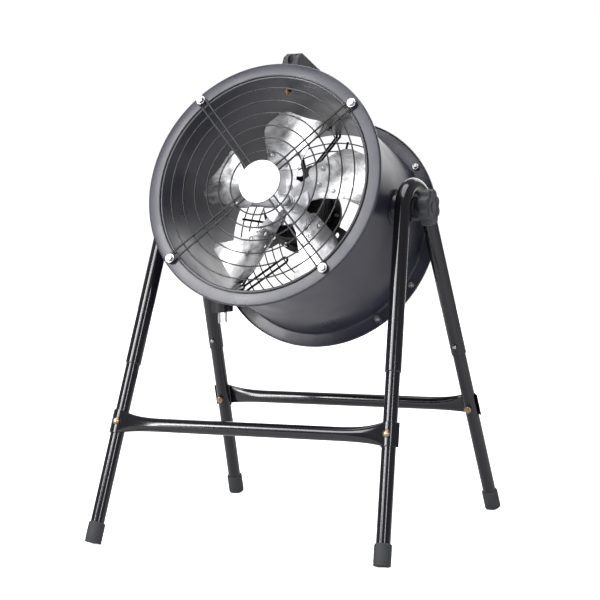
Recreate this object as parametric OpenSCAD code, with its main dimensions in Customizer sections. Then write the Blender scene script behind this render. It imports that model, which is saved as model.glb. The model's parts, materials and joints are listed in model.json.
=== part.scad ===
// Portable duct fan: a tilting axial fan head held by two knobs in a tubular stand

/* [Casing] */
// Outer diameter of the rolled drum
casing_d = 352; // [330:1:360]
// Length of the drum over both flanges
casing_len = 262; // [240:1:300]
// Sheet thickness of the drum
casing_sheet = 1.5; // [1:0.1:2.5]
// Outer diameter of the end flanges
flange_d = 400; // [390:1:402]
// Depth of the turned lip at the edge of a flange
flange_lip = 5; // [3:0.5:9]
// Radius of the rolled corner between drum and flange
flange_corner = 5; // [3:0.5:8]

/* [Guards] */
// Pitch circle radius of the guard bolts
guard_bolt_r = 188; // [186:0.5:190]
// Angle of the first front guard bolt above the horizontal
guard_bolt_angle = 42; // [38:1:50]
// Angle of the first rear guard bolt above the horizontal
rear_bolt_angle = 37; // [34:1:42]
// Wire diameter of the front rings
ring_wire = 2.5; // [2:0.1:3]
// Wire diameter of the front spokes
spoke_wire = 3; // [2.4:0.1:3.6]
// Radius of the outermost ring, which lies on the flange
outer_ring_r = 179; // [178:0.5:180]
// Spacing of the front rings
front_ring_pitch = 21; // [18:0.5:24]
// Spacing of the rear rings
rear_ring_pitch = 14.5; // [12:0.5:18]
// Wire diameter of the rear spokes
rear_spoke_wire = 4; // [3:0.1:4.5]
// How far the rear spokes lie inside the rear flange face
rear_guard_depth = 8; // [6:0.5:10]
// Rod diameter of the stays that hold the motor
stay_rod = 4; // [3.5:0.1:5]
// Diameter of the plain white badge
badge_d = 70; // [60:1:80]

/* [Impeller and motor] */
// Blade tip radius
blade_tip_r = 155; // [140:1:166]
// Blade root radius
blade_root_r = 54; // [52:1:60]
// Pitch angle of the blades
blade_pitch = 20; // [14:1:26]
// Height of the impeller's middle above the pivot, towards the front
impeller_s = 38; // [34:1:44]
// Turn of the impeller about its shaft
impeller_turn = 26; // [0:1:71]
// Outer diameter of the motor body
motor_d = 104; // [98:1:108]
// Length of the motor housing
motor_len = 52; // [48:1:56]
// Shaft diameter
shaft_d = 12; // [10:0.5:14]

/* [Handle] */
// Distance between the two handle bolts
handle_pitch = 170; // [150:1:180]
// Height of the handle above the drum
handle_height = 64; // [50:1:75]
// Width of the handle
handle_width = 28; // [24:1:32]

/* [Stand] */
// Height of the tilt pivot above the floor
pivot_h = 523; // [480:1:560]
// Tilt of the head at rest, front up
tilt = 19.5; // [0:0.5:30]
// Distance of each arch from the middle at the pivot
arch_x = 208; // [208:0.5:220]
// Half the side-to-side spacing of the feet
foot_half_x = 247; // [235:1:270]
// Half the front-to-back spacing of the feet
foot_half_y = 252; // [230:1:280]
// Half the front-to-back spacing of the leg tubes at the pivot
leg_half_y = 52; // [50:1:60]
// Height of the top of the arch's centre line above the pivot
arch_rise = 35; // [32:0.5:42]
// Diameter of the upper tube
upper_tube_d = 25; // [24.5:0.1:26]
// Diameter of the lower tube
lower_tube_d = 22; // [20:0.1:22]
// Wall of both tubes
tube_wall = 1.3; // [1:0.1:1.4]
// Height of the seam between upper and lower tubes
seam_h = 277; // [250:1:320]
// Height of the crossbars
bar_h = 187; // [150:1:220]
// Diameter of the crossbar tubes
bar_d = 22; // [19:0.5:24]
// Height of the crossbar's cupped ends
saddle_h = 38; // [30:1:44]
// Outer diameter of the rubber feet
foot_d = 27; // [25.5:0.5:32]
// Height of the rubber feet
foot_h = 33; // [25:1:45]

/* [Knobs] */
// Diameter over the knob's lobes
knob_d = 60; // [50:1:66]
// Depth of the knob's grip
knob_depth = 19; // [14:1:24]
// Number of lobes
knob_lobes = 8; // [6:1:10]
// Diameter of the pivot studs
stud_d = 10; // [8:1:12]

/* [Cord] */
// Diameter of the mains cord
cord_d = 6.4; // [6:0.1:6.6]
// Clear gap between neighbouring turns of the coil
coil_gap = 0.5; // [0.45:0.05:0.6]

/* [Hidden] */
$fn = 64;

// Clearances
face_gap = 0.1;
seat_gap = 0.3;
running_gap = 0.05;
shaft_gap = 0.03;
wire_gap = 0.05;
bead = 0.4;
bend_step = 0.04;
eps = 0.01;

// Casing
casing_r = casing_d / 2;
duct_r = casing_r - casing_sheet;
flange_r = flange_d / 2;
half_len = casing_len / 2;
flange_sheet = 2;
bolt_r = 3;
bolt_hole_r = bolt_r + 0.3;

// Guard places along the duct axis, from the pivot towards the front
front_ring_s = half_len + ring_wire / 2 + face_gap;
front_spoke_s = front_ring_s + (ring_wire + spoke_wire) / 2 + wire_gap;
washer_t = 1.6;
washer_r = 7.4;
front_washer_s = front_spoke_s + spoke_wire / 2 + face_gap;
badge_t = 2;
badge_s = front_spoke_s + spoke_wire / 2 + face_gap;
loop_r = 6.2;
inner_ring_r = outer_ring_r - 7 * front_ring_pitch;
arm_s = -half_len + rear_guard_depth;
rear_ring_wire = 2.2;
rear_ring_s = arm_s - (rear_spoke_wire + rear_ring_wire) / 2 - wire_gap;
rear_ring_top_r = duct_r - 16;
arm_inner_r = 85;
arm_gap_r = 5;
rear_loop_s = -half_len - rear_spoke_wire / 2 - face_gap;
rear_washer_s = rear_loop_s - rear_spoke_wire / 2 - face_gap;

// Impeller and motor places
shaft_r = shaft_d / 2;
motor_r = motor_d / 2;
motor_front_s = 8;
motor_back_s = motor_front_s - motor_len;
shield_t = 4;
fin_h = 5;
bearing_r = 16;
bearing_w = 10;
flange_out_r = motor_r + 9.5;
flange_screw_r = motor_r + 4.5;
flange_t = 3;
bracket_t = 4;
bracket_s = motor_back_s - face_gap - bracket_t;
rear_shield_s = bracket_s - face_gap;
rear_shield_len = 36;
ear_hole_r = 66;
stay_in_r = 79;
stay_in_s = bracket_s - (stay_rod + bead) / 2 - wire_gap;
stay_foot_t = 2.5;
stay_foot_s = -half_len - face_gap - stay_foot_t;
stay_out_s = stay_foot_s - stay_rod / 2 - wire_gap;
stay_half = 3;
stay_bolt_r = 190;
camber_r = 90;
blade_t = 2;
arm_plate_t = 3;
hub_plate_t = 3.2;
hub_boss_r = 15;
hub_front_s = impeller_s;
blade_count = 5;
stator_bore_r = 28;
stator_inset = 14;
rotor_r = stator_bore_r - 0.5;
winding_in_r = stator_bore_r + 3;
winding_out_r = motor_r - 7;
winding_len = 11;
bracket_bore_r = stator_bore_r + 6;

// Stand lines
lean_x = (foot_half_x - arch_x) / pivot_h;
lean_y = (foot_half_y - leg_half_y) / pivot_h;
leg_dir = [-lean_x, lean_y, 1] / norm([-lean_x, lean_y, 1]);
leg_tilt_x = asin(leg_dir[1]);
leg_tilt_y = atan2(leg_dir[0], leg_dir[2]);
upper_r = upper_tube_d / 2;
lower_r = lower_tube_d / 2;
bar_r = bar_d / 2;
insert_len = 60;
foot_cut = 0.8;
leg_lean = acos(leg_dir[2]);
foot_z = foot_d / 2 * sin(leg_lean) - foot_cut;
plane_tilt = atan(lean_x);
plane_stretch = sqrt(1 + lean_x * lean_x);
plane_lean = atan(lean_y / plane_stretch);
pivot_w = pivot_h * plane_stretch;
arc_r = (leg_half_y * cos(plane_lean) - arch_rise * sin(plane_lean)) / (1 - sin(plane_lean));
arc_w = pivot_w + arch_rise - arc_r;
gusset_t = 3;
gusset_drop = 21.5;
stud_r = stud_d / 2;
boss_r = 21.5;
boss_end = arch_x - gusset_t / 2 - 2.3;
pad_r = 30;
knob_back = arch_x + upper_r + 1.5;
button_r = 3.2;
button_w = seam_h / leg_dir[2] + 19;
button_out = 3.5;

// Handle places along the duct axis
handle_front_s = handle_pitch / 2 - 3;
handle_back_s = handle_front_s - handle_pitch;

// Terminal box
box_angle = 112;
box_s = -80;
box_len = 70;
box_wide = 56;
box_high = 38;
box_wall = 2.5;

// Coil round the left pivot boss
cord_r = cord_d / 2;
turn_pitch = cord_d + coil_gap;
coil_turns = 6;
coil_inner_r = boss_r + seat_gap + cord_r + 1.6;
coil_outer_r = coil_inner_r + turn_pitch * coil_turns / 2;
coil_near_x = -(casing_r + 2 + cord_r);
coil_far_x = coil_near_x - turn_pitch;
coil_z = -0.5;
coil_rings = 24;

gland_x = box_high - 16;
gland_s = 10;

// Routes of the cord from the pivot, laid for the tilt at rest, which turn with the head
laid_tilt = 19.5;
lead_route = [[-100.1, 123.8, 139.8], [-110.3, 122.4, 135.9], [-120.5, 121, 132], [-131, 118.5, 128],
    [-140, 114.5, 124.5], [-148.5, 108.5, 120.5], [-156.5, 101.5, 116], [-163, 94, 110.5],
    [-169, 86, 104], [-174, 78, 96.5], [-178.5, 70, 86.5], [-182, 62.5, 74.5], [-184.5, 56.5, 60.5],
    [-186.5, 51.5, 43.5], [-187.5, 48.5, 23.5], [-188.1, 47.3, -0.1]];
tail_route = [[-181.2, 47.3, -0.9], [-180.5, 47.5, -25], [-179, 47.5, -45.5], [-176.5, 48, -62],
    [-174, 48.5, -75], [-171, 49, -86], [-168, 49.5, -94], [-165, 50, -102.5], [-163.7, 50, -108],
    [-163.6, 50, -111.7]];
plug_at = [-163.6, 50, -175];
plug_turn = -8;

// A round rod between two points
module rod(a, b, d) {
    v = b - a;
    length = norm(v);
    translate(a) rotate([0, acos(v[2] / length), atan2(v[1], v[0])]) cylinder(d = d, h = length);
}

// A hollow round tube along Z
module pipe(r, wall, h) {
    difference() {
        cylinder(r = r, h = h);
        translate([0, 0, -1]) cylinder(r = r - wall, h = h + 2);
    }
}

module ring(r, d) {
    rotate_extrude($fn = 96) translate([r, 0]) circle(d = d, $fn = 24);
}

// Frame of the fan head: X across, Y up and Z along the duct towards the front
module head() {
    translate([0, 0, pivot_h]) rotate([90 - tilt, 0, 0]) children();
}

// Turn about the duct axis
module around(angles) {
    for (a = angles) rotate([0, 0, a]) children();
}

guard_angles = [for (i = [0:3]) guard_bolt_angle + 90 * i];
rear_angles = [for (i = [0:3]) rear_bolt_angle + 90 * i];
single_angles = [for (a = rear_angles) a + 45];
stay_angles = [91, 211, 331];
flange_screw_angles = [for (a = stay_angles) each [a + 30, a + 90]];

// Frame of the front right leg, Z up along its axis, -Y outwards
module leg_frame() {
    translate([foot_half_x, -foot_half_y, 0]) rotate([-leg_tilt_x, leg_tilt_y, 0]) children();
}

module at_leg(side, end) {
    mirror([side < 0 ? 1 : 0, 0, 0]) mirror([0, end > 0 ? 1 : 0, 0]) leg_frame() children();
}

module both_sides() {
    children();
    mirror([1, 0, 0]) children();
}

module all_legs() {
    for (side = [-1, 1], end = [-1, 1]) at_leg(side, end) children();
}

// Section of the front half, from the outside of the drum round to its inside
flange_points = concat(
    [[casing_r, half_len - flange_sheet - 3], [casing_r + 3, half_len - flange_sheet],
     [flange_r - flange_sheet, half_len - flange_sheet],
     [flange_r - flange_sheet, half_len - flange_lip], [flange_r, half_len - flange_lip],
     [flange_r, half_len - 1], [flange_r - 1, half_len]],
    [for (a = [90:15:180]) [duct_r + flange_corner + flange_corner * cos(a),
        half_len - flange_corner + flange_corner * sin(a)]]);
flange_last = len(flange_points) - 1;

module casing_drum() {
    color("dimgray") head() difference() {
        rotate_extrude($fn = 128) polygon(concat(flange_points,
            [for (i = [flange_last:-1:0]) [flange_points[i][0], -flange_points[i][1]]]));
        around(guard_angles) translate([guard_bolt_r, 0, half_len - 10]) cylinder(r = bolt_hole_r, h = 20);
        around(rear_angles) translate([guard_bolt_r, 0, -half_len - 10]) cylinder(r = bolt_hole_r, h = 20);
        around(stay_angles) translate([stay_bolt_r, 0, -half_len - 10]) cylinder(r = bolt_hole_r, h = 20);
        for (s = [handle_front_s, handle_back_s])
            translate([0, duct_r - 5, s]) rotate([-90, 0, 0]) cylinder(r = bolt_hole_r, h = 20);
        lead_hole();
    }
}

lead_hole_s = box_s - 16;
lead_hole_r = 5;

module lead_hole() {
    rotate([0, 0, box_angle]) translate([duct_r - 5, 0, lead_hole_s])
        rotate([0, 90, 0]) cylinder(r = lead_hole_r, h = 20);
}

// Shouldered pivot stud welded to the side of the drum, with its pad
module pivot_stud() {
    difference() {
        union() {
            translate([casing_r - 4, 0, 0]) rotate([0, 90, 0]) cylinder(r = pad_r, h = 4.4);
            translate([casing_r - 4, 0, 0]) rotate([0, 90, 0])
                cylinder(r = boss_r, h = boss_end - casing_r + 4);
            translate([boss_end - 1, 0, 0]) rotate([0, 90, 0])
                cylinder(r = stud_r, h = knob_back + knob_depth - 5 - boss_end + 1);
        }
        translate([0, 0, -100]) cylinder(r = casing_r + face_gap, h = 200, $fn = 128);
    }
}

module pivot_studs() {
    color("darkgray") head() both_sides() pivot_stud();
}

// Two wires from the middle that loop round a bolt
module hairpin(inner_r, inner_half, outer_r, outer_half, wire) {
    taper = asin((outer_half - inner_half) / (outer_r - inner_r));
    along = [cos(taper), sin(taper), 0];
    end = [outer_r - outer_half * sin(taper), outer_half * cos(taper), 0] - wire_gap * along;
    start = end - (outer_r - inner_r) * along;
    for (side = [0, 1]) mirror([0, side, 0]) rod(start, end, wire);
    translate([outer_r, 0, 0]) rotate([0, 0, -90 - taper]) rotate_extrude(angle = 180 + 2 * taper, $fn = 48)
        translate([outer_half, 0]) circle(d = wire, $fn = 24);
}

module front_guard() {
    color("black") head() {
        union() {
            translate([0, 0, front_ring_s])
                for (i = [0:7]) ring(outer_ring_r - i * front_ring_pitch, ring_wire);
            translate([0, 0, front_spoke_s]) around(guard_angles)
                hairpin(inner_ring_r - 6, 4.7, guard_bolt_r, loop_r, spoke_wire);
        }
    }
}

module front_badge() {
    color("white") head() translate([0, 0, badge_s])
        rotate_extrude($fn = 96) polygon([[0, 0], [badge_d / 2 - 0.8, 0], [badge_d / 2, 0.6],
            [badge_d / 2, badge_t - 0.6], [badge_d / 2 - 0.6, badge_t], [0, badge_t]]);
}

// Hexagon-headed screw along Z, head up, with its washer, seated at z = 0
module hex_bolt(shank) {
    cylinder(r = washer_r, h = washer_t);
    translate([0, 0, washer_t]) cylinder(r = 5.77, h = 4, $fn = 6);
    translate([0, 0, washer_t + 4 - eps]) cylinder(r = 4.6, h = 0.5);
    translate([0, 0, -shank]) cylinder(r = bolt_r, h = shank + 1);
}

module hex_nut(height) {
    difference() {
        cylinder(r = 5.77, h = height, $fn = 6);
        translate([0, 0, -1]) cylinder(r = bolt_r + running_gap, h = height + 2);
    }
}

front_shank = front_washer_s - half_len + flange_sheet + 9;
rear_shank = -rear_washer_s - half_len + flange_sheet + 9;
stay_washer_s = stay_foot_s - face_gap;
stay_shank = -stay_washer_s - half_len + flange_sheet + 9;

module guard_bolts() {
    color("silver") head() {
        around(guard_angles) translate([guard_bolt_r, 0, front_washer_s]) hex_bolt(front_shank);
        around(rear_angles) translate([guard_bolt_r, 0, rear_washer_s]) mirror([0, 0, 1]) hex_bolt(rear_shank);
        around(stay_angles) translate([stay_bolt_r, 0, stay_washer_s]) mirror([0, 0, 1]) hex_bolt(stay_shank);
    }
}

module guard_nuts() {
    color("silver") head() {
        around(guard_angles) translate([guard_bolt_r, 0, half_len - flange_sheet - 5 - face_gap]) hex_nut(5);
        around(rear_angles) translate([guard_bolt_r, 0, -half_len + flange_sheet + face_gap]) hex_nut(5);
        around(stay_angles) translate([stay_bolt_r, 0, -half_len + flange_sheet + face_gap]) hex_nut(5);
    }
}

// One rear spoke: a hairpin with a round inner end, bent out to a loop on the flange
module rear_arm() {
    bend_r = duct_r - 6;
    flat_r = duct_r + 1;
    for (side = [-1, 1]) {
        rod([arm_inner_r + wire_gap, side * arm_gap_r, arm_s], [bend_r, side * arm_gap_r, arm_s], rear_spoke_wire);
        translate([bend_r, side * arm_gap_r, arm_s]) sphere(d = rear_spoke_wire + bead, $fn = 24);
        rod([bend_r, side * arm_gap_r, arm_s], [flat_r, side * loop_r, rear_loop_s], rear_spoke_wire);
        translate([flat_r, side * loop_r, rear_loop_s]) sphere(d = rear_spoke_wire + bead, $fn = 24);
        rod([flat_r, side * loop_r, rear_loop_s], [guard_bolt_r - wire_gap, side * loop_r, rear_loop_s],
            rear_spoke_wire);
    }
    translate([guard_bolt_r, 0, rear_loop_s]) rotate([0, 0, -90])
        rotate_extrude(angle = 180, $fn = 48) translate([loop_r, 0]) circle(d = rear_spoke_wire, $fn = 24);
    translate([arm_inner_r, 0, arm_s]) rotate([0, 0, 90])
        rotate_extrude(angle = 180, $fn = 48) translate([arm_gap_r, 0]) circle(d = rear_spoke_wire, $fn = 24);
}

rear_ring_last = floor((rear_ring_top_r - arm_inner_r) / rear_ring_pitch);

module rear_guard() {
    color("black") head() union() {
        around(rear_angles) rear_arm();
        around(single_angles)
            rod([arm_inner_r - 5, 0, arm_s], [rear_ring_top_r + 2, 0, arm_s], rear_spoke_wire);
    }
}

// Rings that hang on the rear guard's arms and spokes
module rear_rings() {
    color("black") head() translate([0, 0, rear_ring_s]) for (i = [0:rear_ring_last])
        ring(rear_ring_top_r - i * rear_ring_pitch, rear_ring_wire);
}

// Side view of the handle: distance along the duct and height above the drum
module handle_side() {
    foot = 13;
    difference() {
        polygon([[-handle_pitch / 2 - foot, 0], [-handle_pitch / 2 - foot, 12],
            [-handle_pitch / 2 - 4, handle_height - 10], [-handle_pitch / 2 + 6, handle_height],
            [handle_pitch / 2 - 6, handle_height], [handle_pitch / 2 + 4, handle_height - 10],
            [handle_pitch / 2 + foot, 12], [handle_pitch / 2 + foot, 0]]);
        polygon([[-handle_pitch / 2 + foot, -1], [-handle_pitch / 2 + foot, 12],
            [-handle_pitch / 2 + 20, handle_height - 29], [-handle_pitch / 2 + 27, handle_height - 22],
            [handle_pitch / 2 - 27, handle_height - 22], [handle_pitch / 2 - 20, handle_height - 29],
            [handle_pitch / 2 - foot, 12], [handle_pitch / 2 - foot, -1]]);
    }
}

module carry_handle() {
    middle = (handle_front_s + handle_back_s) / 2;
    color("#303236") head() difference() {
        translate([handle_width / 2, casing_r, middle]) rotate([0, -90, 0])
            linear_extrude(handle_width) handle_side();
        translate([0, 0, -200]) cylinder(r = casing_r + face_gap, h = 400, $fn = 128);
        for (s = [handle_front_s, handle_back_s]) translate([0, casing_r - 5, s]) {
            rotate([-90, 0, 0]) cylinder(r = bolt_hole_r, h = handle_height + 10);
            translate([0, 5 + 14, 0]) rotate([-90, 0, 0]) cylinder(r = 6.6, h = handle_height + 10);
        }
        for (i = [-4:4]) translate([-handle_width, casing_r + handle_height - 1.2, middle + i * 10 - 1.2])
            cube([2 * handle_width, 5, 2.4]);
    }
}

module handle_fasteners() {
    color("#c9b98a") head() for (s = [handle_front_s, handle_back_s]) translate([0, 0, s]) rotate([-90, 0, 0]) {
        translate([0, 0, casing_r + 14 + face_gap]) {
            cylinder(r = 5.5, h = 4);
            translate([0, 0, -14 - casing_sheet - 9]) cylinder(r = bolt_r, h = 24);
        }
        translate([0, 0, duct_r - face_gap - 5.5]) hex_nut(5);
    }
}

// Frame on top of the drum at the terminal box: X outwards, Y along the drum's curve
module at_box() {
    rotate([0, 0, box_angle]) translate([casing_r, 0, box_s]) children();
}

module terminal_box() {
    color("#26282b") head() difference() {
        at_box() translate([-10, -box_wide / 2, -box_len / 2]) cube([box_high + 10, box_wide, box_len]);
        at_box() translate([3, box_wall - box_wide / 2, box_wall - box_len / 2])
            cube([box_high, box_wide - 2 * box_wall, box_len - 2 * box_wall]);
        translate([0, 0, -200]) cylinder(r = casing_r + face_gap, h = 400, $fn = 128);
        lead_hole();
        at_box() translate([gland_x, 0, gland_s]) rotate([-90, 0, 0]) cylinder(r = 6.2, h = box_wide);
    }
}

lid_corners = [for (y = [-1, 1], z = [-1, 1]) [y * (box_wide / 2 - 7), z * (box_len / 2 - 7)]];

module terminal_box_lid() {
    color("#303236") head() at_box() difference() {
        translate([box_high + face_gap, -box_wide / 2 - 1, -box_len / 2 - 1])
            cube([4, box_wide + 2, box_len + 2]);
        for (p = lid_corners) translate([box_high - 1, p[0], p[1]]) rotate([0, 90, 0])
            cylinder(r = 2.2, h = 10, $fn = 24);
    }
}

module terminal_box_screws() {
    color("silver") head() at_box() for (p = lid_corners)
        translate([box_high + 4 + 2 * face_gap, p[0], p[1]]) rotate([0, 90, 0]) {
            cylinder(r = 3.6, h = 2, $fn = 32);
            translate([0, 0, -14]) cylinder(r = 2, h = 15, $fn = 24);
        }
}

module run_capacitor() {
    color("silver") head() at_box()
        translate([16, -8, -box_len / 2 + box_wall + 5]) cylinder(r = 12, h = 48);
}

// Gland on the side of the box, pointing down the left of the drum
module cable_gland() {
    color("#26282b") head() at_box()
        translate([gland_x, box_wide / 2 - box_wall - 4, gland_s]) rotate([-90, 0, 0]) difference() {
            union() {
                cylinder(r = 6, h = 10);
                translate([0, 0, 4 - eps]) rotate([0, 0, 30]) translate([0, 0, box_wall + 0.2])
                    cylinder(r = 9.5, h = 4, $fn = 6);
                translate([0, 0, 10.5]) cylinder(r1 = 8.6, r2 = 6, h = 11, $fn = 48);
            }
            translate([0, 0, -1]) cylinder(r = cord_r + 2 * face_gap, h = 40);
        }
}

// Lead from the motor through the drum into the terminal box, held at both ends
motor_lead_r = 4;
motor_lead_route = [[-12, 38, -78], [-17, 52, -79], [-22, 66, -80], [-29.5, 85.5, -83],
    [-37.5, 104, -86.5], [-45.5, 121, -90], [-52.5, 134.5, -93.5], [-58.5, 146, -95.5], [-63, 156, -96],
    [-67.4, 166.9, -96]];

module motor_lead() {
    color("#202022") head() tube_along(motor_lead_route, motor_lead_r, [0, 0, 1]);
}

module motor_housing() {
    color("#1b1c1e") head() translate([0, 0, motor_back_s]) difference() {
        rotate_extrude($fn = 96) polygon([[motor_r - 3, 0], [flange_out_r, 0], [flange_out_r, flange_t],
            [motor_r, flange_t], [motor_r, motor_len - 1], [motor_r - 1, motor_len], [motor_r - 3, motor_len]]);
        for (s = [12:7:motor_len - 8]) translate([0, 0, s]) difference() {
            cylinder(r = motor_r + 1, h = 3);
            translate([0, 0, -1]) cylinder(r = motor_r - 1.2, h = 5);
        }
        around(flange_screw_angles) translate([flange_screw_r, 0, -1]) cylinder(r = 2.2, h = 10);
    }
}

module motor_front_shield() {
    color("silver") head() translate([0, 0, motor_front_s + face_gap]) difference() {
        union() {
            cylinder(r = motor_r, h = shield_t, $fn = 96);
            translate([0, 0, -bearing_w]) cylinder(r = bearing_r + 4, h = bearing_w + shield_t + fin_h);
            for (i = [0:19]) rotate([0, 0, i * 18]) translate([bearing_r, -1.5, 0])
                cube([motor_r - 4 - bearing_r, 3, shield_t + fin_h]);
        }
        translate([0, 0, -bearing_w - 1]) cylinder(r = bearing_r + running_gap, h = bearing_w + 3);
        translate([0, 0, -bearing_w]) cylinder(r = shaft_r + 1, h = 50);
    }
}

// Cover behind the bracket, with the rear bearing's seat
module motor_rear_shield() {
    color("#1b1c1e") head() translate([0, 0, rear_shield_s]) difference() {
        rotate_extrude($fn = 96) polygon([[0, 0], [flange_out_r, 0], [flange_out_r, -flange_t],
            [motor_r, -flange_t], [motor_r - 2, -12], [motor_r - 7, -rear_shield_len + 4],
            [motor_r - 11, -rear_shield_len], [0, -rear_shield_len]]);
        translate([0, 0, -bearing_w]) cylinder(r = bearing_r + running_gap, h = bearing_w + 5);
        translate([0, 0, -bearing_w - 3]) cylinder(r = shaft_r + 1, h = 10);
        around(flange_screw_angles) translate([flange_screw_r, 0, -10]) cylinder(r = 2.2, h = 20);
        translate([0, 0, -rear_shield_s])
            rod(motor_lead_route[0], motor_lead_route[2], 2 * (motor_lead_r + seat_gap));
    }
}

module stator_core() {
    color("gray") head() translate([0, 0, motor_back_s + stator_inset]) difference() {
        cylinder(r = motor_r - 3 - face_gap, h = motor_len - 2 * stator_inset, $fn = 96);
        translate([0, 0, -1]) cylinder(r = stator_bore_r, h = motor_len, $fn = 96);
    }
}

module stator_windings() {
    color("#b06a34") head() for (s = [motor_back_s + 2, motor_front_s - 2 - winding_len])
        translate([0, 0, s]) rotate_extrude($fn = 96)
            polygon([[winding_in_r, 1], [winding_in_r + 1, 0], [winding_out_r - 2, 0], [winding_out_r, 2],
                [winding_out_r, winding_len - 2], [winding_out_r - 2, winding_len],
                [winding_in_r + 2, winding_len], [winding_in_r, winding_len - 2]]);
}

module motor_bearings() {
    color("silver") head() for (s = [motor_front_s - bearing_w + face_gap, rear_shield_s - bearing_w])
        translate([0, 0, s]) difference() {
            cylinder(r = bearing_r, h = bearing_w);
            translate([0, 0, -1]) cylinder(r = shaft_r + shaft_gap, h = bearing_w + 2);
        }
}

ear_half = 15;
ear_end_r = stay_in_r - 4;
stay_foot_r = 7.4;
stay_foot_half = 9.5;

// Outline of the bracket's plate: a disc with three ears and its holes
module bracket_outline() {
    difference() {
        union() {
            circle(r = flange_out_r, $fn = 96);
            around(stay_angles) polygon(concat([[40, -ear_half]],
                [for (a = [-90:15:90]) [ear_end_r + ear_half * cos(a), ear_half * sin(a)]], [[40, ear_half]]));
        }
        circle(r = bracket_bore_r, $fn = 96);
        around(stay_angles) translate([ear_hole_r, 0]) circle(r = 5.5, $fn = 48);
        around(flange_screw_angles) translate([flange_screw_r, 0]) circle(r = 2.2, $fn = 24);
    }
}

module stay_foot_outline() {
    difference() {
        polygon(concat([[stay_bolt_r - 10, -stay_foot_half], [stay_bolt_r - 1, -stay_foot_half]],
            [for (a = [-45:15:45]) [stay_bolt_r + stay_foot_r * cos(a), stay_foot_r * sin(a)]],
            [[stay_bolt_r - 1, stay_foot_half], [stay_bolt_r - 10, stay_foot_half]]));
        translate([stay_bolt_r, 0]) circle(r = bolt_hole_r, $fn = 48);
    }
}

// Bracket that holds the motor: an eared plate, three sloping pairs of rods and their feet
module motor_bracket() {
    color("#1b1c1e") head() {
        translate([0, 0, bracket_s]) linear_extrude(bracket_t) bracket_outline();
        around(stay_angles) {
            for (side = [-stay_half, stay_half]) {
                rod([ear_end_r, side, stay_in_s], [stay_in_r + 6, side, stay_in_s], stay_rod);
                translate([stay_in_r + 6, side, stay_in_s]) sphere(d = stay_rod + bead, $fn = 24);
                rod([stay_in_r + 6, side, stay_in_s], [duct_r - 1, side, stay_out_s], stay_rod);
                translate([duct_r - 1, side, stay_out_s]) sphere(d = stay_rod + bead, $fn = 24);
                rod([duct_r - 1, side, stay_out_s], [stay_bolt_r - 8.8, side, stay_out_s], stay_rod);
            }
            translate([0, 0, stay_foot_s]) linear_extrude(stay_foot_t) stay_foot_outline();
        }
    }
}

nut_gap_r = 2 + running_gap;

module bracket_screws() {
    color("silver") head() around(flange_screw_angles) translate([flange_screw_r, 0, 0]) {
        translate([0, 0, rear_shield_s - flange_t - face_gap]) mirror([0, 0, 1])
            pan_screw(3.8, 2, 2 * flange_t + bracket_t + 7);
        translate([0, 0, motor_back_s + flange_t + face_gap]) difference() {
            cylinder(r = 4.04, h = 3.2, $fn = 6);
            translate([0, 0, -1]) cylinder(r = nut_gap_r, h = 10);
        }
    }
}

module pan_screw(head_r, shank_r, shank) {
    cylinder(r = head_r, h = 2.2);
    translate([0, 0, 2.2 - eps]) cylinder(r = head_r * 0.7, h = 1);
    translate([0, 0, -shank]) cylinder(r = shank_r, h = shank + 1);
}

module impeller_shaft() {
    color("silver") head() translate([0, 0, rear_shield_s - bearing_w - 2])
        cylinder(r = shaft_r, h = hub_front_s + 7 - rear_shield_s + bearing_w + 2);
}

module rotor_core() {
    color("gray") head() translate([0, 0, motor_back_s + stator_inset]) difference() {
        cylinder(r = rotor_r, h = motor_len - 2 * stator_inset, $fn = 96);
        translate([0, 0, -1]) cylinder(r = shaft_r + shaft_gap, h = motor_len);
    }
}

// Frame of one blade: X outwards along it, Z off its face
module blade_frame(i) {
    rotate([0, 0, impeller_turn + 72 * i]) translate([0, 0, impeller_s]) rotate([blade_pitch, 0, 0])
        children();
}

// A curved sheet between two radii about the camber axis, which lies in front of the blade
module camber_sheet(low, high) {
    translate([0, 0, camber_r]) rotate([0, 90, 0]) difference() {
        cylinder(r = high, h = blade_tip_r + 10, $fn = 128);
        translate([0, 0, -1]) cylinder(r = low, h = blade_tip_r + 12, $fn = 128);
    }
}

// A rounded corner of an outline, as points about its centre
function corner(x, y, r, from, to) =
    [for (i = [0:6]) let (a = from + (to - from) * i / 6) [x + r * cos(a), y + r * sin(a)]];

// Half widths of a blade at its root, at its straight edge and at its swept corner
blade_root_half = 24;
blade_lead_half = 34;
blade_trail_half = 63;

module blade_outline() {
    root_r = 10;
    trail_r = 10;
    tip_r = 19;
    lead_r = 30;
    polygon(concat(
        corner(blade_root_r + root_r, -blade_root_half + root_r, root_r, 180, 250),
        [[blade_root_r + 39, -blade_root_half - 15.5]],
        corner(blade_tip_r - 35, -blade_trail_half + trail_r, trail_r, 215, 340),
        corner(blade_tip_r - tip_r, -2, tip_r, -20, 40),
        corner(blade_tip_r - lead_r - 9, blade_lead_half - lead_r, lead_r, 40, 95),
        corner(blade_root_r + root_r, blade_lead_half - 4 - root_r, root_r, 100, 180)));
}

arm_end_r = blade_root_r + 34;
arm_half = blade_root_half + 1;
rivet_inner_r = blade_root_r + 8;
rivet_outer_r = rivet_inner_r + 18;
rivet_half = arm_half - 5;
rivet_r = 2;
rivet_hole_r = rivet_r + running_gap;

module hub_arm_outline() {
    half = [[hub_boss_r - 2, arm_half - 14], [2 * hub_boss_r, arm_half - 10],
        [rivet_inner_r - 2, arm_half - 4], [arm_end_r - 6, arm_half], [arm_end_r, arm_half - 6]];
    polygon(concat([for (p = half) [p[0], -p[1]]], [for (i = [4:-1:0]) half[i]]));
}

rivets = [[rivet_inner_r, 0], [rivet_outer_r, -rivet_half], [rivet_outer_r, rivet_half]];

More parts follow.
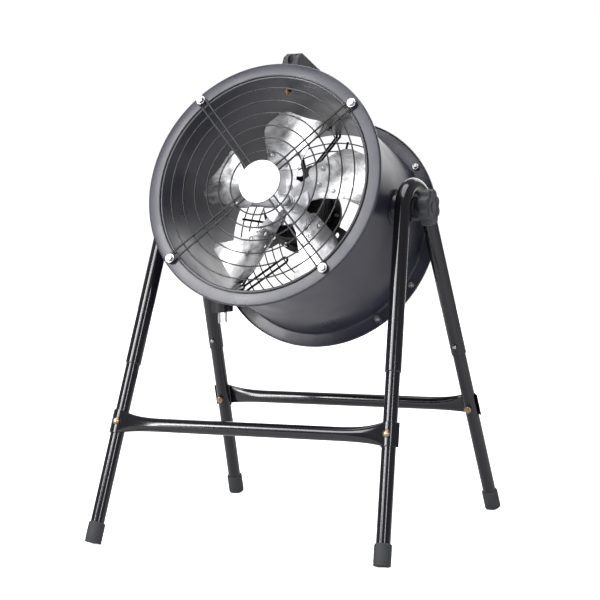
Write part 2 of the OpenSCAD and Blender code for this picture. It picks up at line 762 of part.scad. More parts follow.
// Frame on the blade's face at a rivet, Z along the rivet
module at_rivets() {
    for (p = rivets) translate([p[0], 0, camber_r]) rotate([asin(p[1] / camber_r), 0, 0])
        translate([0, 0, -camber_r]) children();
}

module blade(i) {
    color("gainsboro") head() blade_frame(i) difference() {
        intersection() {
            camber_sheet(camber_r - blade_t / 2, camber_r + blade_t / 2);
            translate([0, 0, -40]) linear_extrude(80) blade_outline();
        }
        at_rivets() translate([0, 0, -10]) cylinder(r = rivet_hole_r, h = 20, $fn = 24);
    }
}

module impeller_hub() {
    sheet_top = camber_r + blade_t / 2 + face_gap;
    color("silver") head() difference() {
        union() {
            translate([0, 0, motor_front_s + shield_t + fin_h + 3])
                cylinder(r = hub_boss_r, h = hub_front_s - motor_front_s - shield_t - fin_h - 3);
            translate([0, 0, impeller_s - hub_plate_t - 1.2]) cylinder(r = 40, h = hub_plate_t, $fn = 96);
            for (i = [0:blade_count - 1]) blade_frame(i) intersection() {
                camber_sheet(sheet_top, sheet_top + arm_plate_t);
                translate([0, 0, -40]) linear_extrude(80) hub_arm_outline();
            }
        }
        cylinder(r = shaft_r + shaft_gap, h = hub_front_s + 1);
        for (i = [0:blade_count - 1]) blade_frame(i) at_rivets()
            translate([0, 0, -10]) cylinder(r = rivet_hole_r, h = 20, $fn = 24);
    }
}

module blade_rivets() {
    head_t = 1.6;
    color("silver") head() for (i = [0:blade_count - 1]) blade_frame(i) at_rivets() {
        translate([0, 0, -blade_t / 2 - arm_plate_t - 2 * face_gap - head_t])
            cylinder(r = rivet_r, h = blade_t + arm_plate_t + 2 * head_t, $fn = 24);
        translate([0, 0, blade_t / 2 + face_gap]) cylinder(r1 = 2 * rivet_r, r2 = 1.3 * rivet_r, h = head_t, $fn = 32);
        translate([0, 0, -blade_t / 2 - arm_plate_t - 3 * face_gap - head_t])
            cylinder(r = 1.8 * rivet_r, h = head_t, $fn = 32);
    }
}

module hub_nut() {
    color("silver") head() translate([0, 0, hub_front_s + face_gap]) difference() {
        union() {
            cylinder(r = 12.5, h = 1.6);
            translate([0, 0, 1.6 - eps]) cylinder(r = 10.4, h = 8, $fn = 6);
        }
        translate([0, 0, -1]) cylinder(r = shaft_r + shaft_gap, h = 8.5);
    }
}

// Lobed grip with a hub that reaches in to the gusset plate, outwards along X
module knob() {
    lobe_r = PI * knob_d / knob_lobes / 3.1;
    groove_r = lobe_r * 0.72;
    hub_x = arch_x + gusset_t / 2 + 2.4;
    color("#2b2c2f") rotate([0, 90, 0]) difference() {
        rotate_extrude($fn = 96) polygon([[0, hub_x], [13, hub_x], [13, knob_back], [knob_d / 2 - 1, knob_back],
            [knob_d / 2, knob_back + 2], [knob_d / 2, knob_back + knob_depth - 3],
            [knob_d / 2 - 4, knob_back + knob_depth], [0, knob_back + knob_depth]]);
        for (i = [0:knob_lobes - 1]) rotate([0, 0, 360 / knob_lobes * (i + 0.5)])
            translate([knob_d / 2 + groove_r * 0.45, 0, knob_back - 1])
                cylinder(r = groove_r, h = knob_depth + 3, $fn = 48);
        translate([0, 0, hub_x - 1]) cylinder(r = stud_r + running_gap, h = knob_back + knob_depth - 4 - hub_x);
    }
}

module right_knob() {
    head() knob();
}

module left_knob() {
    head() mirror([1, 0, 0]) knob();
}

// Plane of the right arch: X outwards, Y front to back and Z up along its lean
module arch_plane() {
    translate([foot_half_x, 0, 0]) rotate([0, -plane_tilt, 0]) children();
}

leg_start_w = seam_h / leg_dir[2];
leg_end_w = (arc_w + arc_r * sin(plane_lean)) / cos(plane_lean);

module arch() {
    color("#1c1d20") difference() {
        union() {
            for (end = [0, 1]) mirror([0, end, 0]) leg_frame() translate([0, 0, leg_start_w])
                rotate_extrude($fn = 48) translate([upper_r - tube_wall, 0])
                    square([tube_wall, leg_end_w - leg_start_w + 0.3]);
            arch_plane() translate([0, 0, arc_w]) arch_bend();
        }
        for (end = [0, 1]) mirror([0, end, 0]) leg_frame() translate([0, 0, button_w])
            rotate([-90, 0, 0]) cylinder(r = button_r + running_gap, h = upper_r + 5);
    }
}

// The bend over the top, swept about X
module arch_bend() {
    rotate([90, 0, 90]) rotate([0, 0, plane_lean]) rotate_extrude(angle = 180 - 2 * plane_lean, $fn = 96)
        translate([arc_r, 0]) difference() {
            circle(r = upper_r + bend_step, $fn = 48);
            circle(r = upper_r - tube_wall - bend_step, $fn = 48);
        }
}

module right_arch() {
    arch();
}

module left_arch() {
    mirror([1, 0, 0]) arch();
}

// Plate between the legs of each arch, with the hole for the pivot stud
module gusset() {
    inset = upper_r + seat_gap;
    plate_r = arc_r - inset;
    arc_z = arc_w * cos(plane_tilt);
    low_z = pivot_h - gusset_drop;
    low_y = leg_half_y + lean_y * gusset_drop - inset / cos(plane_lean);
    tangent = [plate_r * cos(plane_lean), arc_z + plate_r * sin(plane_lean)];
    color("#1c1d20") translate([arch_x - gusset_t / 2, 0, 0]) rotate([90, 0, 90])
        linear_extrude(gusset_t) difference() {
            union() {
                translate([0, arc_z]) circle(r = plate_r, $fn = 96);
                polygon([tangent, [-tangent[0], tangent[1]], [-low_y, low_z], [low_y, low_z]]);
            }
            translate([-100, low_z - 100]) square([200, 100]);
            translate([0, pivot_h]) circle(r = stud_r + running_gap);
        }
}

module gusset_plates() {
    both_sides() gusset();
}

module friction_washers() {
    color("#d8d8d4") both_sides() for (x = [arch_x - gusset_t / 2 - 2, arch_x + gusset_t / 2 + face_gap])
        translate([x, 0, pivot_h]) rotate([0, 90, 0]) difference() {
            cylinder(r = 17, h = 1.9);
            translate([0, 0, -1]) cylinder(r = stud_r + 0.3, h = 5);
        }
}

// Lower tube from the foot up into the arch
module lower_leg() {
    bottom = foot_z / leg_dir[2] + 5;
    top = leg_start_w + insert_len;
    color("#141518") difference() {
        translate([0, 0, bottom]) pipe(lower_r, tube_wall, top - bottom);
        translate([0, 0, button_w]) rotate([-90, 0, 0]) cylinder(r = button_r + running_gap, h = upper_r + 5);
        translate([0, 0, bolt_w]) rotate([-90, 0, 0])
            translate([0, 0, -30]) cylinder(r = bolt_hole_r, h = 60);
    }
}

bolt_w = bar_h / leg_dir[2];

module lower_leg_front_left() {
    at_leg(-1, -1) lower_leg();
}

module lower_leg_front_right() {
    at_leg(1, -1) lower_leg();
}

module lower_leg_rear_left() {
    at_leg(-1, 1) lower_leg();
}

module lower_leg_rear_right() {
    at_leg(1, 1) lower_leg();
}

module rubber_feet() {
    start = foot_z / leg_dir[2];
    color("#3a3b3d") difference() {
        all_legs() difference() {
            union() {
                translate([0, 0, start]) cylinder(r = foot_d / 2, h = foot_h - 2);
                translate([0, 0, start + foot_h - 2 - eps])
                    cylinder(r1 = foot_d / 2, r2 = foot_d / 2 - 1.2, h = 2, $fn = 64);
            }
            translate([0, 0, start + 5 - face_gap]) cylinder(r = lower_r + face_gap, h = foot_h + 5);
        }
        translate([-500, -500, -100]) cube([1000, 1000, 100]);
    }
}

// Cupped end of a crossbar, round the outer side of the leg
saddle_wall = 1.8;
saddle_r = lower_r + face_gap;
flare_len = 46;
bar_out = lower_r - 1;

module saddle() {
    difference() {
        translate([0, 0, bolt_w - saddle_h / 2]) cylinder(r = saddle_r + saddle_wall, h = saddle_h);
        translate([0, 0, bolt_w - saddle_h]) cylinder(r = saddle_r, h = 2 * saddle_h);
        translate([-50, -3, bolt_w - saddle_h]) cube([100, 100, 2 * saddle_h]);
        translate([0, 0, bolt_w]) rotate([90, 0, 0]) cylinder(r = bolt_hole_r, h = 60);
    }
}

// Where the bar's axis passes the leg, in the part's frame
bar_y = -foot_half_y + lean_y * bar_h - bar_out;
bar_leg_x = foot_half_x - lean_x * bar_h;

module flare() {
    hull() {
        translate([bar_leg_x - flare_len, bar_y, bar_h]) rotate([0, 90, 0])
            cylinder(r = bar_r, h = 1, $fn = 32);
        leg_frame() translate([-saddle_r - saddle_wall - 1, -saddle_r + 1, bolt_w - saddle_h / 2])
            cube([2.4, 6, saddle_h]);
    }
}

module crossbar() {
    tube_end = bar_leg_x - flare_len;
    color("#141518") union() {
        translate([-tube_end - eps, bar_y, bar_h]) rotate([0, 90, 0]) pipe(bar_r, tube_wall, 2 * tube_end + 2 * eps);
        both_sides() {
            difference() {
                flare();
                leg_frame() translate([0, 0, bolt_w - 50]) cylinder(r = saddle_r, h = 100);
            }
            leg_frame() saddle();
        }
    }
}

module front_crossbar() {
    crossbar();
}

module rear_crossbar() {
    mirror([0, 1, 0]) crossbar();
}

module crossbar_fasteners() {
    head_y = -saddle_r - saddle_wall - face_gap;
    color("#d8c27a") all_legs() translate([0, 0, bolt_w]) rotate([90, 0, 0]) {
        translate([0, 0, -head_y]) cylinder(r = 6, h = 1.2, $fn = 48);
        translate([0, 0, -head_y + 1.2 - eps]) cylinder(r1 = 5.6, r2 = 3.4, h = 2.8, $fn = 48);
        translate([0, 0, -lower_r - 8]) cylinder(r = bolt_r, h = lower_r + 8 - head_y + 1);
        translate([0, 0, -lower_r - 6.8]) difference() {
            cylinder(r = 6, h = 6.4, $fn = 48);
            translate([0, 0, -2]) cylinder(r = bolt_r + running_gap, h = 10);
        }
    }
}

inner_r = lower_r - tube_wall;
leaf_t = 0.8;
leaf_y = inner_r - 0.9 - leaf_t;

// Fixed leaf and bend of the spring that pushes each button out
module spring_clips() {
    color("silver") all_legs() translate([-3.5, 0, button_w]) {
        translate([0, -inner_r + 0.9, -26]) cube([7, leaf_t, 34]);
        translate([0, -inner_r + 0.9, -27]) cube([7, leaf_y + inner_r - 0.9 - 1.6, leaf_t]);
    }
}

// Push button with its moving leaf, pressed along -Y of the leg frame
module button() {
    color("gainsboro") translate([0, 0, button_w]) {
        translate([0, leaf_y, 0]) rotate([-90, 0, 0]) {
            cylinder(r = button_r, h = upper_r + button_out - 1.2 - leaf_y, $fn = 48);
            translate([0, 0, upper_r + button_out - 1.2 - leaf_y - eps])
                cylinder(r1 = button_r, r2 = button_r - 1.2, h = 1.2, $fn = 48);
        }
        translate([-3.5, leaf_y, -26]) cube([7, leaf_t, 32]);
    }
}

module button_front_left() {
    at_leg(-1, -1) button();
}

module button_front_right() {
    at_leg(1, -1) button();
}

module button_rear_left() {
    at_leg(-1, 1) button();
}

module button_rear_right() {
    at_leg(1, 1) button();
}

// Ring of points about p, square to the unit direction t, turned from the reference u
function ring_points(p, t, u, r, sides) =
    let (a = cross(t, u) / norm(cross(t, u)), b = cross(a, t))
    [for (k = [0:sides - 1]) p + r * (cos(360 * k / sides) * a + sin(360 * k / sides) * b)];

function unit(v) = v / norm(v);

function route_direction(route, i) =
    let (n = len(route) - 1)
    i == 0 ? unit(route[1] - route[0]) : i == n ? unit(route[n] - route[n - 1])
        : unit(unit(route[i + 1] - route[i]) + unit(route[i] - route[i - 1]));

// Closed tube from a list of rings with equal numbers of points
module tube_from(rings) {
    n = len(rings);
    sides = len(rings[0]);
    points = [for (ring = rings) for (p = ring) p];
    walls = [for (i = [0:n - 2], k = [0:sides - 1]) let (j = (k + 1) % sides)
        each [[i * sides + k, (i + 1) * sides + k, (i + 1) * sides + j],
              [i * sides + k, (i + 1) * sides + j, i * sides + j]]];
    caps = [for (k = [1:sides - 2]) each [[0, k, k + 1],
        [(n - 1) * sides, (n - 1) * sides + k + 1, (n - 1) * sides + k]]];
    polyhedron(points, concat(walls, caps));
}

module tube_along(route, r, side) {
    tube_from([for (i = [0:len(route) - 1]) ring_points(route[i], route_direction(route, i), side, r, 8)]);
}

module laid() {
    translate([0, 0, pivot_h]) rotate([laid_tilt - tilt, 0, 0]) children();
}

module cord_lead() {
    color("#1a1a1c") laid() tube_along(lead_route, cord_r, [0, 1, 0]);
}

module cord_tail() {
    color("#1a1a1c") laid() tube_along(tail_route, cord_r, [0, 1, 0]);
}

// The coil: three turns in on the far layer, a climb, and three turns out on the near layer
function ramp(t, from, to) = t <= from ? 0 : t >= to ? 1 : (1 - cos(180 * (t - from) / (to - from))) / 2;

function coil_point(t) =
    let (half = coil_turns / 2, r = coil_outer_r - turn_pitch * (half - abs(t - half)),
        x = coil_far_x + (coil_near_x - coil_far_x) * ramp(t, half - 0.25, half + 0.25))
    [x, r * cos(360 * t), coil_z - r * sin(360 * t)];

coil_steps = coil_turns * coil_rings;
coil_points = [for (i = [0:coil_steps]) coil_point(i / coil_rings)];

module cord_coil() {
    color("#1a1a1c") laid() tube_from([for (i = [0:coil_steps])
        ring_points(coil_points[i], i == 0 || i == coil_steps ? [0, 0, -1]
            : unit(coil_points[i + 1] - coil_points[i - 1]), [1, 0, 0], cord_r, 6)]);
}

coil_least_gap = min([for (i = [0:2:coil_steps], j = [i + coil_rings / 2:1:coil_steps])
    norm(coil_points[i] - coil_points[j])]) - cord_d;
echo(coil_least_gap = coil_least_gap);

function route_length(route) = [for (i = [0:len(route) - 2]) norm(route[i + 1] - route[i])]
    * [for (i = [0:len(route) - 2]) 1];
echo(cord_length = route_length(concat(lead_route, coil_points, tail_route)));

// Strap round the bottom of the coil
module coil_tie() {
    strap = 1;
    low_x = coil_far_x - cord_r - 0.3;
    high_x = coil_near_x + cord_r + 0.3;
    low_z = -coil_outer_r - cord_r - 0.3;
    high_z = -coil_inner_r + cord_r + 0.3;
    color("black") laid() translate([0, -5, coil_z]) rotate([-90, 0, 0]) mirror([0, 1, 0]) linear_extrude(10)
        difference() {
            translate([low_x - strap, low_z - strap])
                square([high_x - low_x + 2 * strap, high_z - low_z + 2 * strap]);
            translate([low_x, low_z]) square([high_x - low_x, high_z - low_z]);
        }
}

plug_half_wide = 18.5;
plug_half_thick = 13.5;
plug_face_len = 17;
plug_taper_len = 24;
plug_neck_len = 22;
plug_neck_r = 8;
plug_end_r = 4.6;
pin_half = 9.5;
pin_r = 2.4;
pin_len = 17.4;
pin_tip = 1.2;
pin_seat = 0.4;
pin_stem_r = 2;
pin_stem_len = 7;
contact_wide = 6;
contact_len = 12;

// Round two-pin plug with earth contacts, hanging with its pins down
module plug_body() {
    color("#17181a") laid() translate(plug_at) rotate([0, 0, 90 + plug_turn]) difference() {
        union() {
            intersection() {
                cylinder(r = plug_half_wide, h = plug_face_len);
                translate([-plug_half_wide - 1, -plug_half_thick, 0])
                    cube([2 * plug_half_wide + 2, 2 * plug_half_thick, plug_face_len]);
            }
            intersection() {
                translate([0, 0, plug_face_len - eps])
                    cylinder(r1 = plug_half_wide, r2 = plug_neck_r, h = plug_taper_len, $fn = 48);
                translate([-plug_half_wide - 1, -plug_half_thick, 0])
                    cube([2 * plug_half_wide + 2, 2 * plug_half_thick, plug_face_len + plug_taper_len]);
            }
            translate([0, 0, plug_face_len + plug_taper_len - 2 * eps])
                cylinder(r1 = plug_neck_r, r2 = plug_end_r, h = plug_neck_len, $fn = 48);
        }
        for (side = [-1, 1]) {
            translate([side * pin_half, 0, -1]) cylinder(r = pin_stem_r + face_gap, h = pin_stem_len + 1);
            translate([-contact_wide / 2 - 0.2, side * plug_half_thick - 1.6, -1])
                cube([contact_wide + 0.4, 3.2, contact_len + 2]);
        }
    }
}

module plug_contacts() {
    color("silver") laid() translate(plug_at) rotate([0, 0, 90 + plug_turn]) {
        for (side = [-1, 1]) {
            translate([side * pin_half, 0, -pin_seat]) {
                translate([0, 0, -pin_len]) cylinder(r = pin_r, h = pin_len);
                translate([0, 0, -eps]) cylinder(r = pin_stem_r, h = pin_stem_len + pin_seat - face_gap);
                translate([0, 0, -pin_len - pin_tip])
                    cylinder(r1 = pin_r - pin_tip, r2 = pin_r, h = pin_tip + eps, $fn = 32);
            }
            translate([-contact_wide / 2, side * (plug_half_thick - 0.8) - 0.5, 0.5])
                cube([contact_wide, 1, contact_len]);
        }
    }
}

casing_drum();
pivot_studs();
front_guard();
front_badge();
guard_bolts();
guard_nuts();
rear_guard();
rear_rings();
carry_handle();
handle_fasteners();
terminal_box();
terminal_box_lid();
terminal_box_screws();
run_capacitor();
cable_gland();
motor_lead();
cord_lead();
cord_coil();
cord_tail();
coil_tie();
plug_body();
plug_contacts();
motor_housing();
motor_front_shield();
motor_rear_shield();
stator_core();
stator_windings();
motor_bearings();
motor_bracket();
bracket_screws();
impeller_shaft();
rotor_core();
impeller_hub();
hub_nut();
blade(0);  // blade_1
blade(1);  // blade_2
blade(2);  // blade_3
blade(3);  // blade_4
blade(4);  // blade_5
blade_rivets();
right_knob();
left_knob();
left_arch();
right_arch();
gusset_plates();
friction_washers();
lower_leg_front_left();
lower_leg_front_right();
lower_leg_rear_left();
lower_leg_rear_right();
rubber_feet();
front_crossbar();
rear_crossbar();
crossbar_fasteners();
spring_clips();
button_front_left();
button_front_right();
button_rear_left();
button_rear_right();
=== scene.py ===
# Portable duct fan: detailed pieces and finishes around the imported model
import json
import math

import bmesh
import bpy
from bpy.props import FloatProperty, FloatVectorProperty, IntProperty, PointerProperty
from mathutils import Matrix, Vector


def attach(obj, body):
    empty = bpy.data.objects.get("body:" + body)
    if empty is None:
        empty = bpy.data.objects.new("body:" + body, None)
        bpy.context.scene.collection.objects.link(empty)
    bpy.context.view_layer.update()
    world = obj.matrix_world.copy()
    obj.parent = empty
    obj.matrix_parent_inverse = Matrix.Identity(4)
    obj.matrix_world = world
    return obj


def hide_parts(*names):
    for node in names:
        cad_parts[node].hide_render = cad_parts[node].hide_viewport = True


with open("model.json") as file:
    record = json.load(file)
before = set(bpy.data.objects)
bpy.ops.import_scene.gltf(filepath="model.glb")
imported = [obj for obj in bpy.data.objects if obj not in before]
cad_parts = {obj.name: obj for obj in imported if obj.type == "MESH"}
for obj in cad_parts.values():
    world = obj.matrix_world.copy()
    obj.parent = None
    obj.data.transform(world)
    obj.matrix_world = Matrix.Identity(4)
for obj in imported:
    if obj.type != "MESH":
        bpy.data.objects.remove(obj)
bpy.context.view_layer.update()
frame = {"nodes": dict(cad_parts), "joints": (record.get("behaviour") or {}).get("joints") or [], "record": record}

bl_info = {
    "name": "Portable Duct Fan",
    "version": (1, 0, 0),
    "blender": (4, 5, 0),
    "location": "View3D > Sidebar > Duct Fan",
    "description": "Builds the visible pieces, finishes and studio of a tilting duct fan",
    "category": "Object",
}

MM = 0.001
RIGHT_ANGLE = math.radians(90)

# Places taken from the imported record, in millimetres
PIVOT = next(j["pos_m"][2] for j in frame["joints"] if j["name"] == "head_tilt") / MM
TILT = 19.5
HEAD = Matrix.Translation((0, 0, PIVOT)) @ Matrix.Rotation(math.radians(90 - TILT), 4, "X")
ABOUT_X = Matrix.Rotation(RIGHT_ANGLE, 4, "Y")

# Drum: half its length, its outer and inner radius, its flanges and its lengthwise seam
HALF_LEN = 131.0
CASING_R = 176.0
DUCT_R = 174.5
FLANGE_R = 200.0
DRUM_SEAM_ANGLE = 248.3

# Guards: bolt circle, first bolt of each end, rings, wire loops and the arms of the rear guard
BOLT_R = 188.0
FRONT_ANGLE = 42.0
REAR_ANGLE = 37.0
OUTER_RING_R = 179
REAR_RING_R = 158.5
LOOP_R = 6.2
ARM_ROOT_R = 85
ARM_HALF = 5
STAY_BOLT_R = 190
STAY_ANGLE = 91

# Impeller: the blades' place along the axis and the radius that their sheet is rolled to
IMPELLER_S = 38
CAMBER_R = 90

# Stand: where the arches and feet stand, and the direction of a leg
ARCH_X = 208
ARCH_RISE = 35
STUD_H = 523
LEG_HALF_Y = 52
FOOT = Vector((247, -252, 0))
LEAN_X = (FOOT.x - ARCH_X) / STUD_H
LEAN_Y = (-FOOT.y - LEG_HALF_Y) / STUD_H
LEG_DIR = Vector((-LEAN_X, LEAN_Y, 1)).normalized()

# Tubes: radii, heights of the crossbars and seams, and the same along a leg
UPPER_R = 12.5
LOWER_R = 11.0
BAR_R = 11.0
BAR_H = 187.0
SEAM_H = 277.0
BOLT_W = BAR_H / LEG_DIR.z
SEAM_W = SEAM_H / LEG_DIR.z
BUTTON_W = SEAM_W + 19
INSERT_LEN = 60
FLARE_LEN = 74
CUP_FACE_R = 12.05
CUP_OUTER_R = 12.9
CUP_INNER_R = 11.15
CUP_HALF_H = 19

# Knobs: inner face, outer radius and lobes
KNOB_X = 222
KNOB_R = 30
KNOB_LOBES = 8
LOBE_DEPTH = 4.6

# Coil of the mains cord, about the left boss
COIL_TURNS = 6
COIL_R = 47.3
COIL_PITCH = 6.9
COIL_NEAR_X = -181.2
COIL_FAR_X = -188.1
COIL_Z = -0.5

# The four legs as side and end, each -1 or 1
CORNERS = ((-1, -1), (1, -1), (-1, 1), (1, 1))

# Where the camera looks and where the lights shine, in metres
AIM = Vector((0.0054, 0, 0.374))
LIT_POINT = Vector((0, 0, 0.45))

# Route of the cord from the pivot, in millimetres, as the solids have it
LEAD_ROUTE = [(-100.1, 123.8, 139.8), (-110.3, 122.4, 135.9), (-120.5, 121, 132), (-131, 118.5, 128),
              (-140, 114.5, 124.5), (-148.5, 108.5, 120.5), (-156.5, 101.5, 116), (-163, 94, 110.5),
              (-169, 86, 104), (-174, 78, 96.5), (-178.5, 70, 86.5), (-182, 62.5, 74.5),
              (-184.5, 56.5, 60.5), (-186.5, 51.5, 43.5), (-187.5, 48.5, 23.5), (-188.1, 47.3, -0.1)]
TAIL_ROUTE = [(-181.2, 47.3, -0.9), (-180.5, 47.5, -25), (-179, 47.5, -45.5), (-176.5, 48, -62),
              (-174, 48.5, -75), (-171, 49, -86), (-168, 49.5, -94), (-165, 50, -102.5),
              (-163.7, 50, -108), (-163.6, 50, -111.7)]
MOTOR_LEAD = [(-12, 38, -78), (-17, 52, -79), (-22, 66, -80), (-29.5, 85.5, -83), (-37.5, 104, -86.5),
              (-45.5, 121, -90), (-52.5, 134.5, -93.5), (-58.5, 146, -95.5), (-63, 156, -96),
              (-67.4, 166.9, -96)]


def srgb(r, g, b):
    """A colour of 0 to 255 as the linear values that a shader takes."""
    return tuple(((c / 255 + 0.055) / 1.055) ** 2.4 if c > 10 else c / 255 / 12.92 for c in (r, g, b))


def polar(radius, angle, *rest):
    """A point at a radius and an angle, with any further coordinates."""
    return (radius * math.cos(angle), radius * math.sin(angle), *rest)


def move(x, y, z):
    return Matrix.Translation((x, y, z))


def turn(angle, axis):
    return Matrix.Rotation(angle, 4, axis)


def flip(x, y=1):
    """Mirrors where x or y is -1."""
    return Matrix.Diagonal((x, y, 1, 1))


def linked(name, data):
    """A new object in the scene."""
    piece = bpy.data.objects.new(name, data)
    bpy.context.scene.collection.objects.link(piece)
    return piece


# ---- Settings ----

class DuctFanGuards(bpy.types.PropertyGroup):
    """Sizes of the wire guards."""

    ring_count: IntProperty(name="Front Rings", description="Rings of the front guard", default=8,
                            min=4, max=10)
    ring_pitch: FloatProperty(name="Front Pitch", description="Spacing of the front rings",
                              default=0.021, unit="LENGTH")
    ring_wire: FloatProperty(name="Ring Wire", description="Wire diameter of the front rings",
                             default=0.0025, unit="LENGTH")
    spoke_wire: FloatProperty(name="Spoke Wire", description="Wire diameter of the front spokes",
                              default=0.003, unit="LENGTH")
    rear_count: IntProperty(name="Rear Rings", description="Rings of the rear guard", default=6,
                            min=3, max=9)
    rear_pitch: FloatProperty(name="Rear Pitch", description="Spacing of the rear rings",
                              default=0.0145, unit="LENGTH")


class DuctFanFan(bpy.types.PropertyGroup):
    """Sizes of the impeller and motor."""

    blade_count: IntProperty(name="Blades", description="Blades of the impeller", default=5,
                             min=3, max=8)
    blade_pitch: FloatProperty(name="Blade Pitch", description="Pitch angle of the blades",
                               default=math.radians(20), subtype="ANGLE")
    blade_turn: FloatProperty(name="Impeller Turn", description="Turn of the impeller at rest",
                              default=math.radians(26), subtype="ANGLE")
    fin_count: IntProperty(name="Shield Fins", description="Cooling fins on the front shield",
                           default=20, min=8, max=32)


class DuctFanCord(bpy.types.PropertyGroup):
    """Sizes of the mains cord."""

    diameter: FloatProperty(name="Diameter", description="Diameter of the cord", default=0.0064,
                            unit="LENGTH")
    length: FloatProperty(name="Length", description="Length of cord from gland to plug", default=1.711,
                          unit="LENGTH")
    rib_count: IntProperty(name="Sleeve Ribs", description="Ribs on the bend sleeve", default=7,
                           min=3, max=12)


class DuctFanFinish(bpy.types.PropertyGroup):
    """Main colours of the finishes."""

    drum: FloatVectorProperty(name="Drum", description="Satin paint of the drum", subtype="COLOR",
                              default=srgb(40, 40, 52))
    stand: FloatVectorProperty(name="Stand", description="Gloss paint of the tubes", subtype="COLOR",
                               default=srgb(13, 13, 19))
    guard: FloatVectorProperty(name="Guards", description="Coating of the wire guards",
                               subtype="COLOR", default=srgb(11, 11, 13))
    plastic: FloatVectorProperty(name="Plastic", description="Plastic of the handle and knobs",
                                 subtype="COLOR", default=srgb(38, 39, 43))
    badge: FloatVectorProperty(name="Badge", description="Plain badge in the guard",
                               subtype="COLOR", default=srgb(250, 250, 250))
    blade: FloatVectorProperty(name="Blades", description="Polished sheet of the blades",
                               subtype="COLOR", default=srgb(236, 236, 238))


class DuctFanStudio(bpy.types.PropertyGroup):
    """Camera and lights."""

    lens: FloatProperty(name="Lens", description="Focal length in millimetres", default=107.7)
    distance: FloatProperty(name="Distance", description="Camera to the fan", default=2.93,
                            unit="LENGTH")
    azimuth: FloatProperty(name="Azimuth", description="Camera's angle round the fan",
                           default=math.radians(25.01), subtype="ANGLE")
    elevation: FloatProperty(name="Elevation", description="Camera's angle above the floor",
                             default=math.radians(4.02), subtype="ANGLE")
    roll: FloatProperty(name="Roll", description="Camera's turn about its view",
                        default=math.radians(-1.05), subtype="ANGLE")
    brightness: FloatProperty(name="Light", description="Strength of all the lights", default=1.0)


# ---- Shapes in millimetres ----

class Shape:
    """Points and faces gathered before they become one mesh."""

    def __init__(self, part=((), ()), place=None):
        self.points = []
        self.faces = []
        self.add(part, place)

    def add(self, part, place=None):
        points, faces = part
        start = len(self.points)
        self.points += [place @ Vector(p) if place else Vector(p) for p in points]
        self.faces += [[start + i for i in face] for face in faces]
        return self


def rounded(corners, closed=True, steps=4):
    """An outline through corners of (x, y, radius), each turned by an arc."""
    out = []
    for i, (x, y, radius) in enumerate(corners):
        if radius <= 0 or (not closed and i in (0, len(corners) - 1)):
            out.append((x, y))
            continue
        here = Vector((x, y))
        before = Vector(corners[i - 1][:2]) - here
        after = Vector(corners[(i + 1) % len(corners)][:2]) - here
        half = before.angle(after) / 2
        reach = min(radius / math.tan(half), before.length * 0.49, after.length * 0.49)
        radius = reach * math.tan(half)
        before.normalize()
        after.normalize()
        middle = here + (before + after).normalized() * (radius / math.sin(half))
        first = here + before * reach - middle
        last = here + after * reach - middle
        start = math.atan2(first.y, first.x)
        turn = (math.atan2(last.y, last.x) - start + math.pi) % (2 * math.pi) - math.pi
        for k in range(steps + 1):
            angle = start + turn * k / steps
            dx, dy = polar(radius, angle)
            out.append((middle.x + dx, middle.y + dy))
    return out


def lathe(profile, steps=96, ring=False):
    """A profile of (radius, height) turned about Z; ring joins its two ends."""
    points, rows, faces = [], [], []
    for r, z in profile:
        if r < 1e-6:
            rows.append([len(points)] * steps)
            points.append((0, 0, z))
        else:
            rows.append(range(len(points), len(points) + steps))
            points += [polar(r, 2 * math.pi * k / steps, z) for k in range(steps)]
    for low, high in zip(rows, rows[1:] + (rows[:1] if ring else [])):
        for k in range(steps):
            j = (k + 1) % steps
            face = list(dict.fromkeys([low[k], low[j], high[j], high[k]]))
            if len(face) > 2:
                faces.append(face)
    return points, faces


def loft(rings, closed=False):
    """A skin over rings with equal numbers of points, capped unless it closes on itself."""
    count = len(rings[0])
    points = [p for ring in rings for p in ring]
    faces = []
    last = len(rings) if closed else len(rings) - 1
    for i in range(last):
        low, high = i * count, (i + 1) % len(rings) * count
        faces += [[low + k, low + (k + 1) % count, high + (k + 1) % count, high + k]
                  for k in range(count)]
    if not closed:
        faces += [list(range(count))[::-1], list(range(len(points) - count, len(points)))]
    return points, faces


def directions(path, closed=False):
    """Unit direction at each point of a path."""
    count = len(path)
    out = []
    for i in range(count):
        after = path[(i + 1) % count] if closed or i + 1 < count else path[i]
        before = path[i - 1] if closed or i else path[i]
        out.append((after - before).normalized())
    return out


def frames(path, closed=False):
    """Direction and two square-on directions at each point, carried along without twist."""
    out = []
    side = None
    for t in directions(path, closed):
        side = t.orthogonal() if side is None else side - t * side.dot(t)
        side.normalize()
        out.append((t, side.copy(), t.cross(side)))
    return out


def tube(path, radius, sides=16, closed=False):
    """A round tube along a path with softly rounded ends; radius is a number or a list."""
    path = [Vector(p) for p in path]
    radii = list(radius) if isinstance(radius, (list, tuple)) else [radius] * len(path)
    if not closed:
        ends = directions(path)
        path = [path[0], path[0] + ends[0] * radii[0] * 0.12] + path[1:-1] + \
            [path[-1] - ends[-1] * radii[-1] * 0.12, path[-1]]
        radii = [radii[0] * 0.86, radii[0]] + radii[1:-1] + [radii[-1], radii[-1] * 0.86]
    spokes = [polar(1, 2 * math.pi * k / sides) for k in range(sides)]
    rings = [[p + r * (cos * a + sin * b) for cos, sin in spokes]
             for p, r, (t, a, b) in zip(path, radii, frames(path, closed))]
    return loft(rings, closed)


